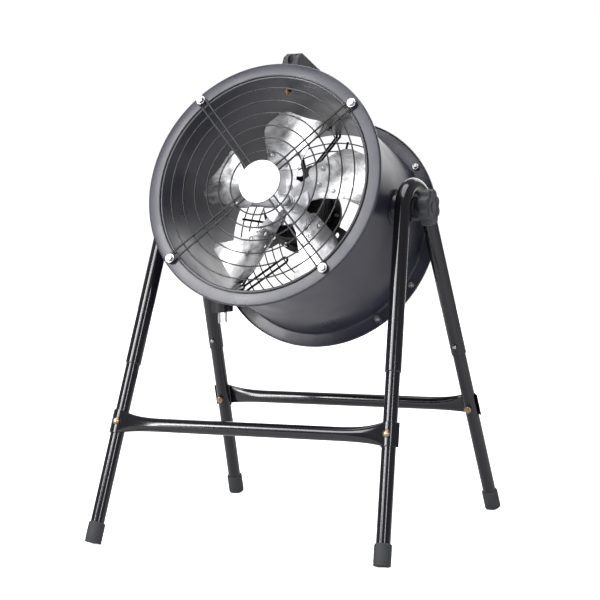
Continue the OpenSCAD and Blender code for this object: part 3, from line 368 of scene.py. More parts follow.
def smooth_path(route, steps=5):
    """A Catmull-Rom curve through given points."""
    route = [Vector(p) for p in route]
    out = []
    for i in range(len(route) - 1):
        p0, p1, p2 = route[max(i - 1, 0)], route[i], route[i + 1]
        p3 = route[min(i + 2, len(route) - 1)]
        for k in range(steps):
            t = k / steps
            out.append(0.5 * (2 * p1 + (p2 - p0) * t + (2 * p0 - 5 * p1 + 4 * p2 - p3) * t * t
                              + (3 * p1 - p0 - 3 * p2 + p3) * t ** 3))
    return out + [route[-1]]


def bent_path(corners, radius, steps=8):
    """A path through corners, with a round bend at each inner one."""
    corners = [Vector(c) for c in corners]
    out = [corners[0]]
    for before, here, after in zip(corners, corners[1:], corners[2:]):
        a, b = (before - here).normalized(), (after - here).normalized()
        half = a.angle(b) / 2
        reach = min(radius / math.tan(half), (before - here).length * 0.49, (after - here).length * 0.49)
        start, end = here + a * reach, here + b * reach
        for k in range(steps + 1):
            t = k / steps
            out.append((1 - t) ** 2 * start + 2 * (1 - t) * t * here + t * t * end)
    return out + [corners[-1]]


def plate(outline, low, high, ease=0.5):
    """A flat plate of an outline between two heights, with its edges eased."""
    count = len(outline)
    inner = []
    for i in range(count):
        before, here = Vector(outline[i - 1]), Vector(outline[i])
        after = Vector(outline[(i + 1) % count])
        a, b = (here - before).normalized(), (after - here).normalized()
        normal = Vector((-(a + b).y, (a + b).x)).normalized()
        inner.append(here + normal * ease)
    area = sum(a[0] * b[1] - b[0] * a[1] for a, b in zip(outline[-1:] + outline[:-1], outline))
    if area < 0:
        inner = [2 * Vector(p) - q for p, q in zip(outline, inner)]
    rings = [[(p[0], p[1], z) for p in ring] for ring, z in
             ((inner, low), (outline, low + ease), (outline, high - ease), (inner, high))]
    return loft(rings)


def hex_head(radius, height):
    """A hexagon with its top edge chamfered by a cone."""
    sides = 48
    rings = []
    for z, cone in ((0, 9), (height * 0.86, 9), (height, radius * 0.83), (height, radius * 0.5)):
        ring = []
        for k in range(sides):
            angle = 2 * math.pi * k / sides
            flat = radius * math.cos(math.pi / 6) / math.cos((angle % (math.pi / 3)) - math.pi / 6)
            r = min(flat, cone * 10 if cone == 9 else cone)
            ring.append(polar(r, angle, z))
        rings.append(ring)
    return loft(rings)


def leg_place(side, end):
    """Frame of one leg: Z up along it, -Y outwards; side and end are -1 or 1."""
    return flip(side, -end) @ move(*FOOT) @ turn(math.atan2(LEG_DIR.x, LEG_DIR.z), "Y") \
        @ turn(-math.asin(LEG_DIR.y), "X")


# ---- Pieces ----

def mesh_object(name, shape, place=None, sharp=32):
    """One object from a shape in millimetres, merged, turned outwards and shaded."""
    mesh = bpy.data.meshes.new(name)
    points = [(place @ p if place else p) * MM for p in shape.points]
    mesh.from_pydata([tuple(p) for p in points], [], shape.faces)
    piece = linked(name, mesh)
    tidy_mesh(mesh, sharp)
    return piece


def tidy_mesh(mesh, sharp=32, merge=2e-6):
    """Merges doubles, turns the faces outwards and marks the sharp edges."""
    work = bmesh.new()
    work.from_mesh(mesh)
    bmesh.ops.remove_doubles(work, verts=work.verts, dist=merge)
    bmesh.ops.dissolve_degenerate(work, edges=work.edges, dist=1e-7)
    bmesh.ops.recalc_face_normals(work, faces=work.faces)
    work.to_mesh(mesh)
    work.free()
    mesh.shade_smooth()
    mesh.set_sharp_from_angle(angle=math.radians(sharp))


def made_plain(piece):
    """The piece with its modifiers turned into a plain mesh."""
    depsgraph = bpy.context.evaluated_depsgraph_get()
    mesh = bpy.data.meshes.new_from_object(piece.evaluated_get(depsgraph), depsgraph=depsgraph)
    piece.modifiers.clear()
    if piece.type != "MESH":
        name, curve = piece.name, piece.data
        bpy.data.objects.remove(piece)
        bpy.data.curves.remove(curve)
        return linked(name, mesh)
    old, piece.data = piece.data, mesh
    bpy.data.meshes.remove(old)
    mesh.name = piece.name
    return piece


def settle(piece, body, slot, *nodes):
    """Gives a piece its body, its slot's finish and the nodes that it stands for."""
    piece.data.materials.clear()
    piece.data.materials.append(finish_of(slot))
    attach(piece, body)
    if nodes:
        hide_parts(*nodes)
    return piece


def solid(name, shape, body, slot, *nodes, place=None, sharp=32):
    """A settled piece from a shape in millimetres."""
    return settle(mesh_object(name, shape, place, sharp), body, slot, *nodes)


def merged_copy(node, name):
    """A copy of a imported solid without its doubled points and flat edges."""
    piece = frame["nodes"][node].copy()
    piece.data = frame["nodes"][node].data.copy()
    piece.name = piece.data.name = name
    piece.parent = None
    for key in [k for k in piece.keys() if k.startswith("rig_")]:
        del piece[key]
    bpy.context.scene.collection.objects.link(piece)
    tidy_mesh(piece.data, merge=1e-5)
    work = bmesh.new()
    work.from_mesh(piece.data)
    bmesh.ops.dissolve_limit(work, angle_limit=math.radians(1), verts=work.verts, edges=work.edges)
    work.to_mesh(piece.data)
    work.free()
    return piece


def modified(piece, kind, **settings):
    """Adds a modifier with its settings."""
    modifier = piece.modifiers.new(kind.title(), kind)
    for key, value in settings.items():
        setattr(modifier, key, value)


def eased_copy(node, name, body, slot, width, segments=2):
    """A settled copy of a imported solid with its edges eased."""
    piece = merged_copy(node, name)
    modified(piece, "BEVEL", width=width * MM, segments=segments, limit_method="ANGLE",
             angle_limit=math.radians(35), harden_normals=True)
    return settle(made_plain(piece), body, slot, node)


def moulded_copy(node, name, slot, voxel, rounds):
    """A settled copy of one of the head's solids with every edge softened, as a mould leaves it."""
    piece = merged_copy(node, name)
    modified(piece, "REMESH", mode="VOXEL", voxel_size=voxel * MM)
    modified(piece, "SMOOTH", factor=0.5, iterations=rounds)
    piece = made_plain(piece)
    piece.data.shade_smooth()
    return settle(piece, "fan_head", slot, node)


# ---- Node trees ----

class Tree:
    """A node tree with short ways to add and join nodes."""

    def __init__(self, tree):
        self.tree = tree

    def socket(self, name, kind, value=None, out=False):
        made = self.tree.interface.new_socket(name, in_out="OUTPUT" if out else "INPUT",
                                              socket_type="NodeSocket" + kind)
        if value is not None:
            made.default_value = value

    def node(self, kind, **settings):
        made = self.tree.nodes.new(kind)
        for key, value in settings.items():
            if key in made.bl_rna.properties:
                setattr(made, key, value)
            else:
                made.inputs[key.replace("_", " ")].default_value = value
        return made

    def join(self, start, end):
        self.tree.links.new(start, end)

    def feed(self, value, end):
        """Gives an input a number or joins a socket to it."""
        if isinstance(value, (int, float)):
            end.default_value = value
        else:
            self.join(value, end)

    def math(self, operation, a, b):
        made = self.node("ShaderNodeMath", operation=operation)
        self.feed(a, made.inputs[0])
        self.feed(b, made.inputs[1])
        return made.outputs[0]

    def spread(self, value, low=0.0, high=1.0, start=0.0, end=1.0):
        """A value stretched from low..high to start..end."""
        made = self.node("ShaderNodeMapRange")
        for key, source in (("Value", value), ("From Min", low), ("From Max", high),
                            ("To Min", start), ("To Max", end)):
            self.feed(source, made.inputs[key])
        return made.outputs[0]


class CopiesTree(Tree):
    """A geometry tree that puts copies at points, makes them real and gives them a finish."""

    def __init__(self, name, *entries):
        super().__init__(bpy.data.node_groups.new(name, "GeometryNodeTree"))
        for key, kind, value in (*entries, ("Finish", "Material", None)):
            self.socket(key, kind, value)
        self.socket("Geometry", "Geometry", out=True)
        self.given = self.node("NodeGroupInput").outputs
        self.index = self.node("GeometryNodeInputIndex").outputs[0]
        self.place = self.node("GeometryNodeInstanceOnPoints")
        self.real = self.node("GeometryNodeRealizeInstances")
        self.finish = self.node("GeometryNodeSetMaterial")
        self.join(self.place.outputs[0], self.real.inputs[0])
        self.join(self.given["Finish"], self.finish.inputs["Material"])
        self.join(self.finish.outputs[0], self.node("NodeGroupOutput").inputs[0])

    def at_points(self):
        """Places the copies at Count points that lie together."""
        points = self.node("GeometryNodePoints")
        self.join(self.given["Count"], points.inputs["Count"])
        self.join(points.outputs[0], self.place.inputs["Points"])

    def wires(self, radius, wire_radius, steps, sides):
        """Makes the copies round wires of a ring radius and a wire radius."""
        ring = self.node("GeometryNodeCurvePrimitiveCircle", Resolution=steps, Radius=1.0)
        wire = self.node("GeometryNodeCurvePrimitiveCircle", Resolution=sides)
        size = self.node("ShaderNodeCombineXYZ")
        skin = self.node("GeometryNodeCurveToMesh")
        for axis in "XYZ":
            self.join(radius, size.inputs[axis])
        self.join(wire_radius, wire.inputs["Radius"])
        self.join(ring.outputs[0], self.place.inputs["Instance"])
        self.join(size.outputs[0], self.place.inputs["Scale"])
        self.join(self.real.outputs[0], skin.inputs["Curve"])
        self.join(wire.outputs[0], skin.inputs["Profile Curve"])
        self.join(skin.outputs[0], self.finish.inputs["Geometry"])


def copies_tree():
    """Copies of a shape turned about Z in equal steps."""
    tree = CopiesTree("Copies round an axis", ("Shape", "Geometry", None), ("Count", "Int", 4),
                      ("First angle", "Float", 0.0), ("Step", "Float", 1.57))
    turned = tree.node("ShaderNodeCombineXYZ")
    steps = tree.math("MULTIPLY", tree.index, tree.given["Step"])
    tree.join(tree.math("ADD", steps, tree.given["First angle"]), turned.inputs["Z"])
    tree.at_points()
    tree.join(tree.given["Shape"], tree.place.inputs["Instance"])
    tree.join(turned.outputs[0], tree.place.inputs["Rotation"])
    tree.join(tree.real.outputs[0], tree.finish.inputs["Geometry"])
    return tree.tree


def rings_tree():
    """Wire rings about Z, each smaller than the last by a pitch."""
    tree = CopiesTree("Guard rings", ("Shape", "Geometry", None), ("Count", "Int", 8),
                      ("Outer radius", "Float", 0.179), ("Pitch", "Float", 0.021),
                      ("Wire radius", "Float", 0.00125))
    tree.at_points()
    inwards = tree.math("MULTIPLY", tree.index, tree.given["Pitch"])
    radius = tree.math("SUBTRACT", tree.given["Outer radius"], inwards)
    tree.wires(radius, tree.given["Wire radius"], 120, 12)
    return tree.tree


def ribs_tree():
    """Round ribs along a path, shrinking from its start to its end."""
    tree = CopiesTree("Ribs along a path", ("Path", "Geometry", None), ("Count", "Int", 7),
                      ("First radius", "Float", 0.006), ("Last radius", "Float", 0.0045),
                      ("Rib radius", "Float", 0.001))
    given = tree.given
    points = tree.node("GeometryNodeCurveToPoints")
    tree.join(given["Path"], points.inputs["Curve"])
    tree.join(given["Count"], points.inputs["Count"])
    for key in ("Points", "Rotation"):
        tree.join(points.outputs[key], tree.place.inputs[key])
    span = tree.math("SUBTRACT", given["Last radius"], given["First radius"])
    part = tree.math("DIVIDE", tree.index, tree.math("SUBTRACT", given["Count"], 1))
    radius = tree.math("ADD", given["First radius"], tree.math("MULTIPLY", span, part))
    tree.wires(radius, given["Rib radius"], 32, 10)
    return tree.tree


TREES = {}


def grown(piece, build, place=None, **values):
    """Runs a node tree on a piece, makes the result plain and puts it in place."""
    if build not in TREES:
        TREES[build] = build()
    modifier = piece.modifiers.new("Repeats", "NODES")
    modifier.node_group = TREES[build]
    for item in TREES[build].interface.items_tree:
        key = item.name.replace(" ", "_").lower()
        if item.in_out == "INPUT" and key in values:
            modifier[item.identifier] = values[key]
    piece.update_tag()
    piece = made_plain(piece)
    if place:
        real = Matrix.Diagonal((MM, MM, MM, 1)) @ place @ Matrix.Diagonal((1 / MM, 1 / MM, 1 / MM, 1))
        piece.data.transform(real)
    tidy_mesh(piece.data)
    return piece


def copies(name, shape, slot, count, first, *nodes, body="fan_head", place=HEAD):
    """Settled copies of one shape in equal steps round an axis, the first at an angle in degrees."""
    piece = grown(mesh_object(name, shape), copies_tree, place, count=count,
                  first_angle=math.radians(first), step=math.radians(360 / count),
                  finish=finish_of(slot))
    return settle(piece, body, slot, *nodes)


# ---- Finishes ----

def shader_group(name, outputs, fill, **inputs):
    """A shared shader group with named number inputs."""
    tree = Tree(bpy.data.node_groups.new(name, "ShaderNodeTree"))
    for key, value in inputs.items():
        tree.socket(key.replace("_", " "), "Float", value)
    for key in outputs:
        tree.socket(key, "Float", out=True)
    given, result = tree.node("NodeGroupInput"), tree.node("NodeGroupOutput")
    fill(tree, given.outputs, result.inputs, tree.node("ShaderNodeTexCoord").outputs["Object"])
    return tree.tree


def noise(tree, place, scale, detail=3.0, rough=0.5, stretch=None):
    """A noise texture on Object coordinates, its scale a socket or a number."""
    if stretch:
        mapping = tree.node("ShaderNodeMapping", Scale=stretch)
        tree.join(place, mapping.inputs[0])
        place = mapping.outputs[0]
    made = tree.node("ShaderNodeTexNoise", Detail=detail, Roughness=rough)
    tree.join(place, made.inputs["Vector"])
    tree.feed(scale, made.inputs["Scale"])
    return made.outputs[0]


def fill_coat(tree, given, result, place):
    """Orange peel of a sprayed coat, and its slow change of tone."""
    peel = noise(tree, place, given["Peel size"], 2.0)
    tree.join(tree.math("MULTIPLY", peel, given["Peel depth"]), result["Height"])
    tree.join(tree.spread(noise(tree, place, 14.0, 4.0), 0.35, 0.65), result["Tone"])


def fill_dust(tree, given, result, place):
    """Fine dust that lies on upward faces, and small scuffs."""
    parts = tree.node("ShaderNodeSeparateXYZ")
    tree.join(tree.node("ShaderNodeNewGeometry").outputs["Normal"], parts.inputs[0])
    up = tree.spread(parts.outputs["Z"], 0.25, 1.0)
    cloud = tree.spread(noise(tree, place, 55.0, 5.0, 0.6), 0.38, 0.72)
    tree.join(tree.math("MULTIPLY", tree.math("MULTIPLY", up, cloud), given["Dust"]), result["Dust"])
    scuff = tree.spread(noise(tree, place, 160.0, 4.0, 0.7, (1, 1, 0.25)), 0.66, 0.74)
    tree.join(tree.math("MULTIPLY", scuff, given["Scuffs"]), result["Scuffs"])


def fill_rolled(tree, given, result, place):
    """Fine rolling lines and slow waves of sheet and machined metal."""
    lines = noise(tree, place, given["Line size"], 4.0, 0.6, (1, 1, 0.03))
    waves = noise(tree, place, given["Wave size"], 2.0)
    tree.join(tree.spread(lines, 0.3, 0.7), result["Lines"])
    tree.join(tree.spread(waves, 0.35, 0.65), result["Waves"])
    tree.join(tree.math("ADD", tree.math("MULTIPLY", lines, 0.15),
                        tree.math("MULTIPLY", waves, given["Wave depth"])), result["Height"])


def fill_painted_reflections(tree, given, result, place):
    """Dark blotches and streaks for a metal's base colour: painted reflections, standing in for the mottled
    reflections of its surroundings.
    """
    shift = tree.node("ShaderNodeVectorMath", operation="ADD")
    tree.join(place, shift.inputs[0])
    tree.join(tree.math("MULTIPLY", noise(tree, place, 9.0, 2.0), 0.12), shift.inputs[1])
    bent, size = shift.outputs[0], given["Cloud size"]
    # Painted reflections: noise patches and streaks where the metal is painted darker
    patches = tree.spread(noise(tree, bent, size, 6.0, 0.62), 0.44, 0.6)
    painted_streaks = tree.spread(noise(tree, bent, size, 3.0, 0.55, (0.7, 2.6, 2.6)), 0.46, 0.62)
    both = tree.math("MAXIMUM", patches, tree.math("MULTIPLY", painted_streaks, 0.7))
    tree.join(tree.math("MULTIPLY", both, given["Strength"]), result["Mask"])


def fill_grain(tree, given, result, place):
    """Pebbled grain of moulded surfaces."""
    cells = tree.node("ShaderNodeTexVoronoi")
    tree.join(place, cells.inputs["Vector"])
    tree.join(given["Grain size"], cells.inputs["Scale"])
    fine = noise(tree, place, given["Grain size"], 3.0, 0.6)
    height = tree.math("ADD", tree.math("MULTIPLY", cells.outputs["Distance"], 0.6), fine)
    tree.join(tree.math("MULTIPLY", height, given["Grain depth"]), result["Height"])
    tree.join(tree.spread(noise(tree, place, 24.0, 4.0), 0.35, 0.65), result["Tone"])


GROUPS = {}


def groups():
    """The shader groups that the finishes share, built once."""
    if not GROUPS:
        GROUPS["coat"] = shader_group("Sprayed coat", ("Height", "Tone"), fill_coat,
                                      Peel_size=900.0, Peel_depth=0.5)
        GROUPS["dust"] = shader_group("Dust and scuffs", ("Dust", "Scuffs"), fill_dust,
                                      Dust=0.3, Scuffs=0.3)
        GROUPS["rolled"] = shader_group("Rolled metal", ("Lines", "Waves", "Height"), fill_rolled,
                                        Line_size=600.0, Wave_size=20.0, Wave_depth=0.5)
        # Painted reflections: dark blotches that the metal finishes mix into their colour
        GROUPS["clouds"] = shader_group("Clouded polish", ("Mask",), fill_painted_reflections,
                                        Cloud_size=26.0, Strength=0.6)
        GROUPS["grain"] = shader_group("Moulded grain", ("Height", "Tone"), fill_grain,
                                       Grain_size=1500.0, Grain_depth=0.5)
    return GROUPS


class Finish(Tree):
    """A material under construction: one Principled shader and the shared groups."""

    def __init__(self, name, colour, roughness, metallic=0.0, coat=0.0, coat_rough=0.1):
        self.material = bpy.data.materials.new(name)
        self.material.use_nodes = True
        super().__init__(self.material.node_tree)
        self.shader = self.tree.nodes["Principled BSDF"].inputs
        self.colour = (*colour, 1.0)
        for key, value in (("Base Color", self.colour), ("Roughness", roughness),
                           ("Metallic", metallic), ("Coat Weight", coat),
                           ("Coat Roughness", coat_rough), ("IOR", 1.5)):
            self.shader[key].default_value = value

    def group(self, key, **values):
        return self.node("ShaderNodeGroup", node_tree=groups()[key], **values).outputs

    def mix(self, mask, colour, base=None):
        """The base colour turned towards another where the mask is strong."""
        made = self.node("ShaderNodeMix", data_type="RGBA", A=self.colour, B=(*colour, 1.0))
        if base:
            self.join(base, made.inputs["A"])
        self.join(mask, made.inputs["Factor"])
        return made.outputs["Result"]

    def dusted(self, toned, dust, scuffs, bright):
        """A toned colour with dust on its top faces and paler scuffs."""
        out = self.group("dust", Dust=dust, Scuffs=scuffs)
        dusty = self.mix(out["Dust"], DUST_COLOUR, toned)
        return self.mix(out["Scuffs"], scaled(self.colour[:3], bright), dusty)

    def done(self, colour, gloss, low, high, height, depth):
        """Joins the colour, the roughness from low to high and the bump."""
        bump = self.node("ShaderNodeBump", Strength=1.0, Distance=depth * MM)
        self.join(height, bump.inputs["Height"])
        self.join(colour, self.shader["Base Color"])
        self.join(self.spread(gloss, start=low, end=high), self.shader["Roughness"])
        self.join(bump.outputs[0], self.shader["Normal"])
        return self.material


DUST_COLOUR = srgb(150, 148, 144)


def scaled(colour, factor):
    return tuple(min(c * factor, 1.0) for c in colour)


def painted(name, colour, rough, peel, dust=0.0, spread_by=0.12, coat=0.0):
    """Sprayed paint: orange peel, slow tone, dust on top faces and scuffs."""
    finish = Finish(name, colour, rough, coat=coat, coat_rough=rough * 0.25)
    out = finish.group("coat")
    toned = finish.mix(out["Tone"], scaled(colour, 1.25))
    return finish.done(finish.dusted(toned, dust, 0.25, 2.0), out["Tone"], rough, rough + spread_by,
                       out["Height"], peel)


def moulded(name, colour, rough, size=1500.0, depth=0.03, dust=0.1):
    """Moulded plastic or rubber: pebbled grain, slow tone and dust."""
    finish = Finish(name, colour, rough)
    out = finish.group("grain", Grain_size=size)
    toned = finish.mix(out["Tone"], scaled(colour, 1.3))
    return finish.done(finish.dusted(toned, dust, 0.35, 1.9), out["Tone"], rough, rough + 0.15,
                       out["Height"], depth)


def metal(name, colour, low, high, line, wave, depth, darker=0.82, clouds=0.0):
    """Bare metal: rolling lines, slow waves in its gloss and dark blotches painted into its colour as painted
    reflections.
    """
    finish = Finish(name, colour, low, metallic=1.0)
    out = finish.group("rolled", Line_size=line, Wave_size=wave)
    lined = finish.mix(out["Lines"], scaled(colour, darker))
    # Painted reflections: the colour darkened to a quarter under the blotch mask
    if clouds:
        lined = finish.mix(finish.group("clouds", Strength=clouds)["Mask"], scaled(colour, 0.24), lined)
    return finish.done(lined, out["Waves"], low, high, out["Height"], depth)


FINISHES = {}


def finish_of(slot):
    """The material of a slot of the record, built when first asked for."""
    if slot not in FINISHES:
        sets = bpy.context.scene.duct_fan_finish
        maker, *values = {
            "drum_paint": (painted, sets.drum, 0.27, 0.02, 0.06),
            "guard_paint": (painted, sets.guard, 0.22, 0.01),
            "stand_paint": (painted, sets.stand, 0.12, 0.0012, 0.0, 0.03, 0.1),
            "motor_paint": (painted, srgb(4, 4, 6), 0.5, 0.04),
            "badge_white": (painted, sets.badge, 0.28, 0.008, 0.05, 0.06),
            "grey_plastic": (moulded, sets.plastic, 0.42, 1500.0, 0.03, 0.12),
            "black_plastic": (moulded, srgb(20, 21, 24), 0.42, 1500.0, 0.03, 0.08),
            "fibre": (moulded, srgb(46, 45, 44), 0.6, 1800.0, 0.02, 0.1),
            "rubber": (moulded, srgb(40, 41, 44), 0.62, 1300.0, 0.04, 0.15),
            "cord_rubber": (moulded, srgb(27, 27, 29), 0.46, 1700.0, 0.02, 0.25),
            "zinc": (metal, srgb(176, 176, 180), 0.3, 0.44, 900.0, 60.0, 0.05),
            "yellow_zinc": (metal, srgb(168, 146, 118), 0.26, 0.42, 900.0, 60.0, 0.05, 0.7),
            # The last number of the two aluminium finishes is the strength of their painted reflections
            "cast_aluminium": (metal, srgb(206, 206, 210), 0.34, 0.56, 300.0, 80.0, 0.5, 0.86, 0.45),
            "polished_aluminium": (metal, sets.blade, 0.26, 0.5, 500.0, 30.0, 2.4, 0.9, 0.95),
            "steel": (metal, srgb(188, 190, 194), 0.2, 0.34, 900.0, 60.0, 0.05),
            "laminations": (metal, srgb(120, 122, 126), 0.35, 0.5, 2600.0, 40.0, 0.1, 0.6),
            "copper": (metal, srgb(184, 108, 62), 0.25, 0.4, 1800.0, 50.0, 0.2, 0.6),
        }[slot]
        FINISHES[slot] = maker(slot, *values)
    return FINISHES[slot]


def carry_over(*nodes):
    """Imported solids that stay, each with the finish of its slot."""
    slots = {part["node"]: part["material_slot"] for part in frame["record"]["subparts"]}
    for name in nodes:
        data = frame["nodes"][name].data
        data.materials.clear()
        data.materials.append(finish_of(slots[name]))


# ---- Camera, cord and stage ----

class DUCTFAN_OT_camera(bpy.types.Operator):
    """Places the camera at the photograph's viewing angle"""

    bl_idname = "duct_fan.camera"
    bl_label = "Camera"

    def execute(self, context):
        sets = context.scene.duct_fan_studio
        data = bpy.data.cameras.new("Studio camera")
        data.lens = sets.lens
        data.sensor_width = 36
        camera = linked("Studio camera", data)
        flat = math.cos(sets.elevation)
        back = Vector((math.sin(sets.azimuth) * flat, -math.cos(sets.azimuth) * flat,
                       math.sin(sets.elevation)))
        right = (-back).cross(Vector((0, 0, 1))).normalized()
        up = right.cross(-back)
        cos, sin = math.cos(sets.roll), math.sin(sets.roll)
        right, up = right * cos + up * sin, up * cos - right * sin
        place = Matrix((right, up, back)).transposed().to_4x4()
        place.translation = AIM + back * sets.distance
        camera.matrix_world = place
        context.scene.camera = camera
        return {"FINISHED"}


def poly_curve(name, path):
    """A curve object through points in millimetres."""
    curve = bpy.data.curves.new(name, "CURVE")
    curve.dimensions = "3D"
    spline = curve.splines.new("POLY")
    spline.points.add(len(path) - 1)
    for point, p in zip(spline.points, path):
        point.co = (*(p * MM), 1)
    spline.use_smooth = True
    return linked(name, curve)


def coil_points():
    """The turns of cord round the left boss, half of them in and half out."""
    half = COIL_TURNS / 2
    out = []
    for i in range(COIL_TURNS * 48 + 1):
        t = i / 48
        r = COIL_R - COIL_PITCH * (half - abs(t - half))
        part = 0 if t <= 2.75 else 1 if t >= 3.25 else (1 - math.cos(2 * math.pi * (t - 2.75))) / 2
        y, z = polar(r, 2 * math.pi * t)
        out.append(Vector((COIL_FAR_X + (COIL_NEAR_X - COIL_FAR_X) * part, y, COIL_Z - z)))
    return out


class DUCTFAN_OT_cord(bpy.types.Operator):
    """Lays the mains cord from the gland round the left boss to its plug"""

    bl_idname = "duct_fan.cord"
    bl_label = "Mains Cord"

    def execute(self, context):
        sets = context.scene.duct_fan_cord
        up = Vector((0, 0, PIVOT))
        lead, tail = smooth_path(LEAD_ROUTE, 4), smooth_path(TAIL_ROUTE, 4)
        route = [p + up for p in lead[:-1] + coil_points() + tail[1:]]
        cord = poly_curve("mains_cord", route)
        cord.data.bevel_depth = sets.diameter / 2
        cord.data.bevel_resolution = 3
        cord.data.use_fill_caps = True
        settle(cord, "fan_head", "cord_rubber", "cord_lead", "cord_coil", "cord_tail")
        plug = moulded_copy("plug_body", "plug_moulding", "cord_rubber", 0.7, 3)
        self.tie()
        self.sleeve(sets, up)
        carry_over("plug_contacts")
        return {"FINISHED"}

    def sleeve(self, sets, up):
        """Tapered, ribbed bend sleeve where the cord leaves the gland."""
        moulded_copy("cable_gland", "cable_gland_body", "black_plastic", 0.6, 3)
        path = [p + up for p in smooth_path(LEAD_ROUTE[1:6], 4)]
        radii = [5.6 - 1.9 * i / (len(path) - 1) for i in range(len(path))]
        solid("bend_sleeve", Shape(tube(path, radii, 24)), "fan_head", "cord_rubber")
        ribs = grown(poly_curve("bend_sleeve_ribs", path[1:-1]), ribs_tree, count=sets.rib_count,
                     first_radius=0.0057, last_radius=0.0039, rib_radius=0.0009,
                     finish=finish_of("cord_rubber"))
        settle(ribs, "fan_head", "cord_rubber")

    def tie(self):
        """Strap round the coil's lowest point."""
        low_x, high_x, low_z, high_z = -192.1, -177.2, -51.3, -22.6
        centre = ((low_x + high_x) / 2, (low_z + high_z) / 2)
        half_x, half_z = (high_x - low_x) / 2 + 0.5, (high_z - low_z) / 2 + 0.5
        loop = rounded([(centre[0] + sx * half_x, centre[1] + sz * half_z, 2.2)
                        for sx, sz in ((-1, -1), (1, -1), (1, 1), (-1, 1))], steps=5)
        rings = []
        for x, z in loop:
            out = Vector((x - centre[0], z - centre[1])).normalized() * 0.5
            rings.append([(x + out.x * grow, y, z + out.y * grow) for grow, y in
                          ((-1, -5), (1, -5), (1.3, -4.6), (1.3, 4.6), (1, 5), (-1, 5))])
        shape = Shape(loft(rings, closed=True), move(0, 0, PIVOT + COIL_Z))
        return solid("coil_strap", shape, "fan_head", "black_plastic", "coil_tie")


class DUCTFAN_OT_stage(bpy.types.Operator):
    """Builds the pale floor, the soft lights and the pale surroundings"""

    bl_idname = "duct_fan.stage"
    bl_label = "Studio"

    def execute(self, context):
        sets = context.scene.duct_fan_studio
        mesh = bpy.data.meshes.new("studio_floor")
        half = 40
        mesh.from_pydata([(-half, -half, 0), (half, -half, 0), (half, half, 0), (-half, half, 0)], [],
                         [(0, 1, 2, 3)])
        floor = linked("studio_floor", mesh)
        pale = Finish("studio_floor", (0.86, 0.86, 0.86), 0.9)
        pale.shader["Emission Color"].default_value = (1, 1, 1, 1)
        seen = pale.node("ShaderNodeLightPath").outputs["Is Camera Ray"]
        pale.join(pale.spread(seen, start=0.08, end=0.88), pale.shader["Emission Strength"])
        pale.join(pale.spread(seen, start=0.7, end=0.86), pale.shader["Base Color"])
        floor.data.materials.append(pale.material)
        self.air(context.scene, sets)
        for name, place, size, energy in (
                ("Front box", (-1.25, -3.05, 2.55), (2.0, 1.5), 94),
                ("Left strip", (-1.6, -2.5, 0.9), (0.2, 2.6), 46),
                ("Right strip", (2.5, -2.5, 1.0), (0.3, 2.6), 48),
                ("Top box", (0.0, 0.0, 3.0), (2.0, 2.0), 54),
                ("Back wall", (-0.9, 4.2, 1.6), (4.4, 3.4), 88)):
            data = bpy.data.lights.new(name, "AREA")
            data.shape = "RECTANGLE"
            data.size, data.size_y = size
            data.energy = energy * sets.brightness
            light = linked(name, data)
            light.visible_camera = False
            facing = (Vector(place) - LIT_POINT).to_track_quat("Z", "Y")
            light.matrix_world = Matrix.Translation(place) @ facing.to_matrix().to_4x4()
        return {"FINISHED"}

    def air(self, scene, sets):
        """White backdrop that lights the fan less than it shows."""
        scene.view_settings.view_transform = "Standard"
        world = bpy.data.worlds.new("Studio air")
        scene.world = world
        world.use_nodes = True
        tree = Tree(world.node_tree)
        air = tree.tree.nodes["Background"].inputs
        air["Color"].default_value = (0.97, 0.97, 1.0, 1)
        seen = tree.node("ShaderNodeLightPath").outputs["Is Camera Ray"]
        tree.join(tree.spread(seen, start=0.28 * sets.brightness, end=1.05), air["Strength"])


# ---- Head ----

def drum_profile():
    """Half section of the rolled drum, from its outside round both flanges to its inside."""
    face, lip, groove = HALF_LEN - 2, HALF_LEN - 5, DUCT_R + 4.4
    front = [(CASING_R, HALF_LEN - 6, 2.5), (CASING_R + 2.5, face, 1.5), (FLANGE_R - 2, face, 1.2),
             (FLANGE_R - 2, lip, 0.6), (FLANGE_R, lip, 0.6), (FLANGE_R, HALF_LEN, 2.4),
             (DUCT_R + 5, HALF_LEN, 0.4), (groove, HALF_LEN - 0.8, 0.4), (DUCT_R + 3.8, HALF_LEN, 0.4),
             (DUCT_R, HALF_LEN, 3.4)]
    return rounded(front + [(r, -z, f) for r, z, f in reversed(front)])


class DUCTFAN_OT_drum(bpy.types.Operator):
    """Builds the rolled drum with its flanges, studs and handle"""

    bl_idname = "duct_fan.drum"
    bl_label = "Drum and Handle"

    def execute(self, context):
        solid("drum_shell", Shape(lathe(drum_profile(), 160, ring=True)), "fan_head", "drum_paint",
              "casing_drum", place=HEAD, sharp=40)
        rings = []
        for s, grow in ((-118, 0.05), (-117, 0.35), (117, 0.35), (118, 0.05)):
            outer = CASING_R + grow
            rings.append([polar(r, math.radians(a), s) for r, a in
                          ((175.8, 246), (outer, 246.6), (outer, 250), (175.8, 250.6))])
        seam = Shape(loft(rings))
        dot = lathe([(0, 0.5), (1.6, 0.4), (2.2, 0), (0, 0)], 16)
        for s in range(-105, 106, 15):
            tack = HEAD @ turn(math.radians(DRUM_SEAM_ANGLE), "Z") @ move(176.2, 0, s) @ ABOUT_X
            seam.add(dot, HEAD.inverted() @ tack)
        solid("drum_seam", seam, "fan_head", "drum_paint", place=HEAD)
        eased_copy("pivot_studs", "boss_and_studs", "fan_head", "drum_paint", 0.8)
        moulded_copy("carry_handle", "handle_moulding", "grey_plastic", 1.0, 6)
        carry_over("handle_fasteners")
        return {"FINISHED"}


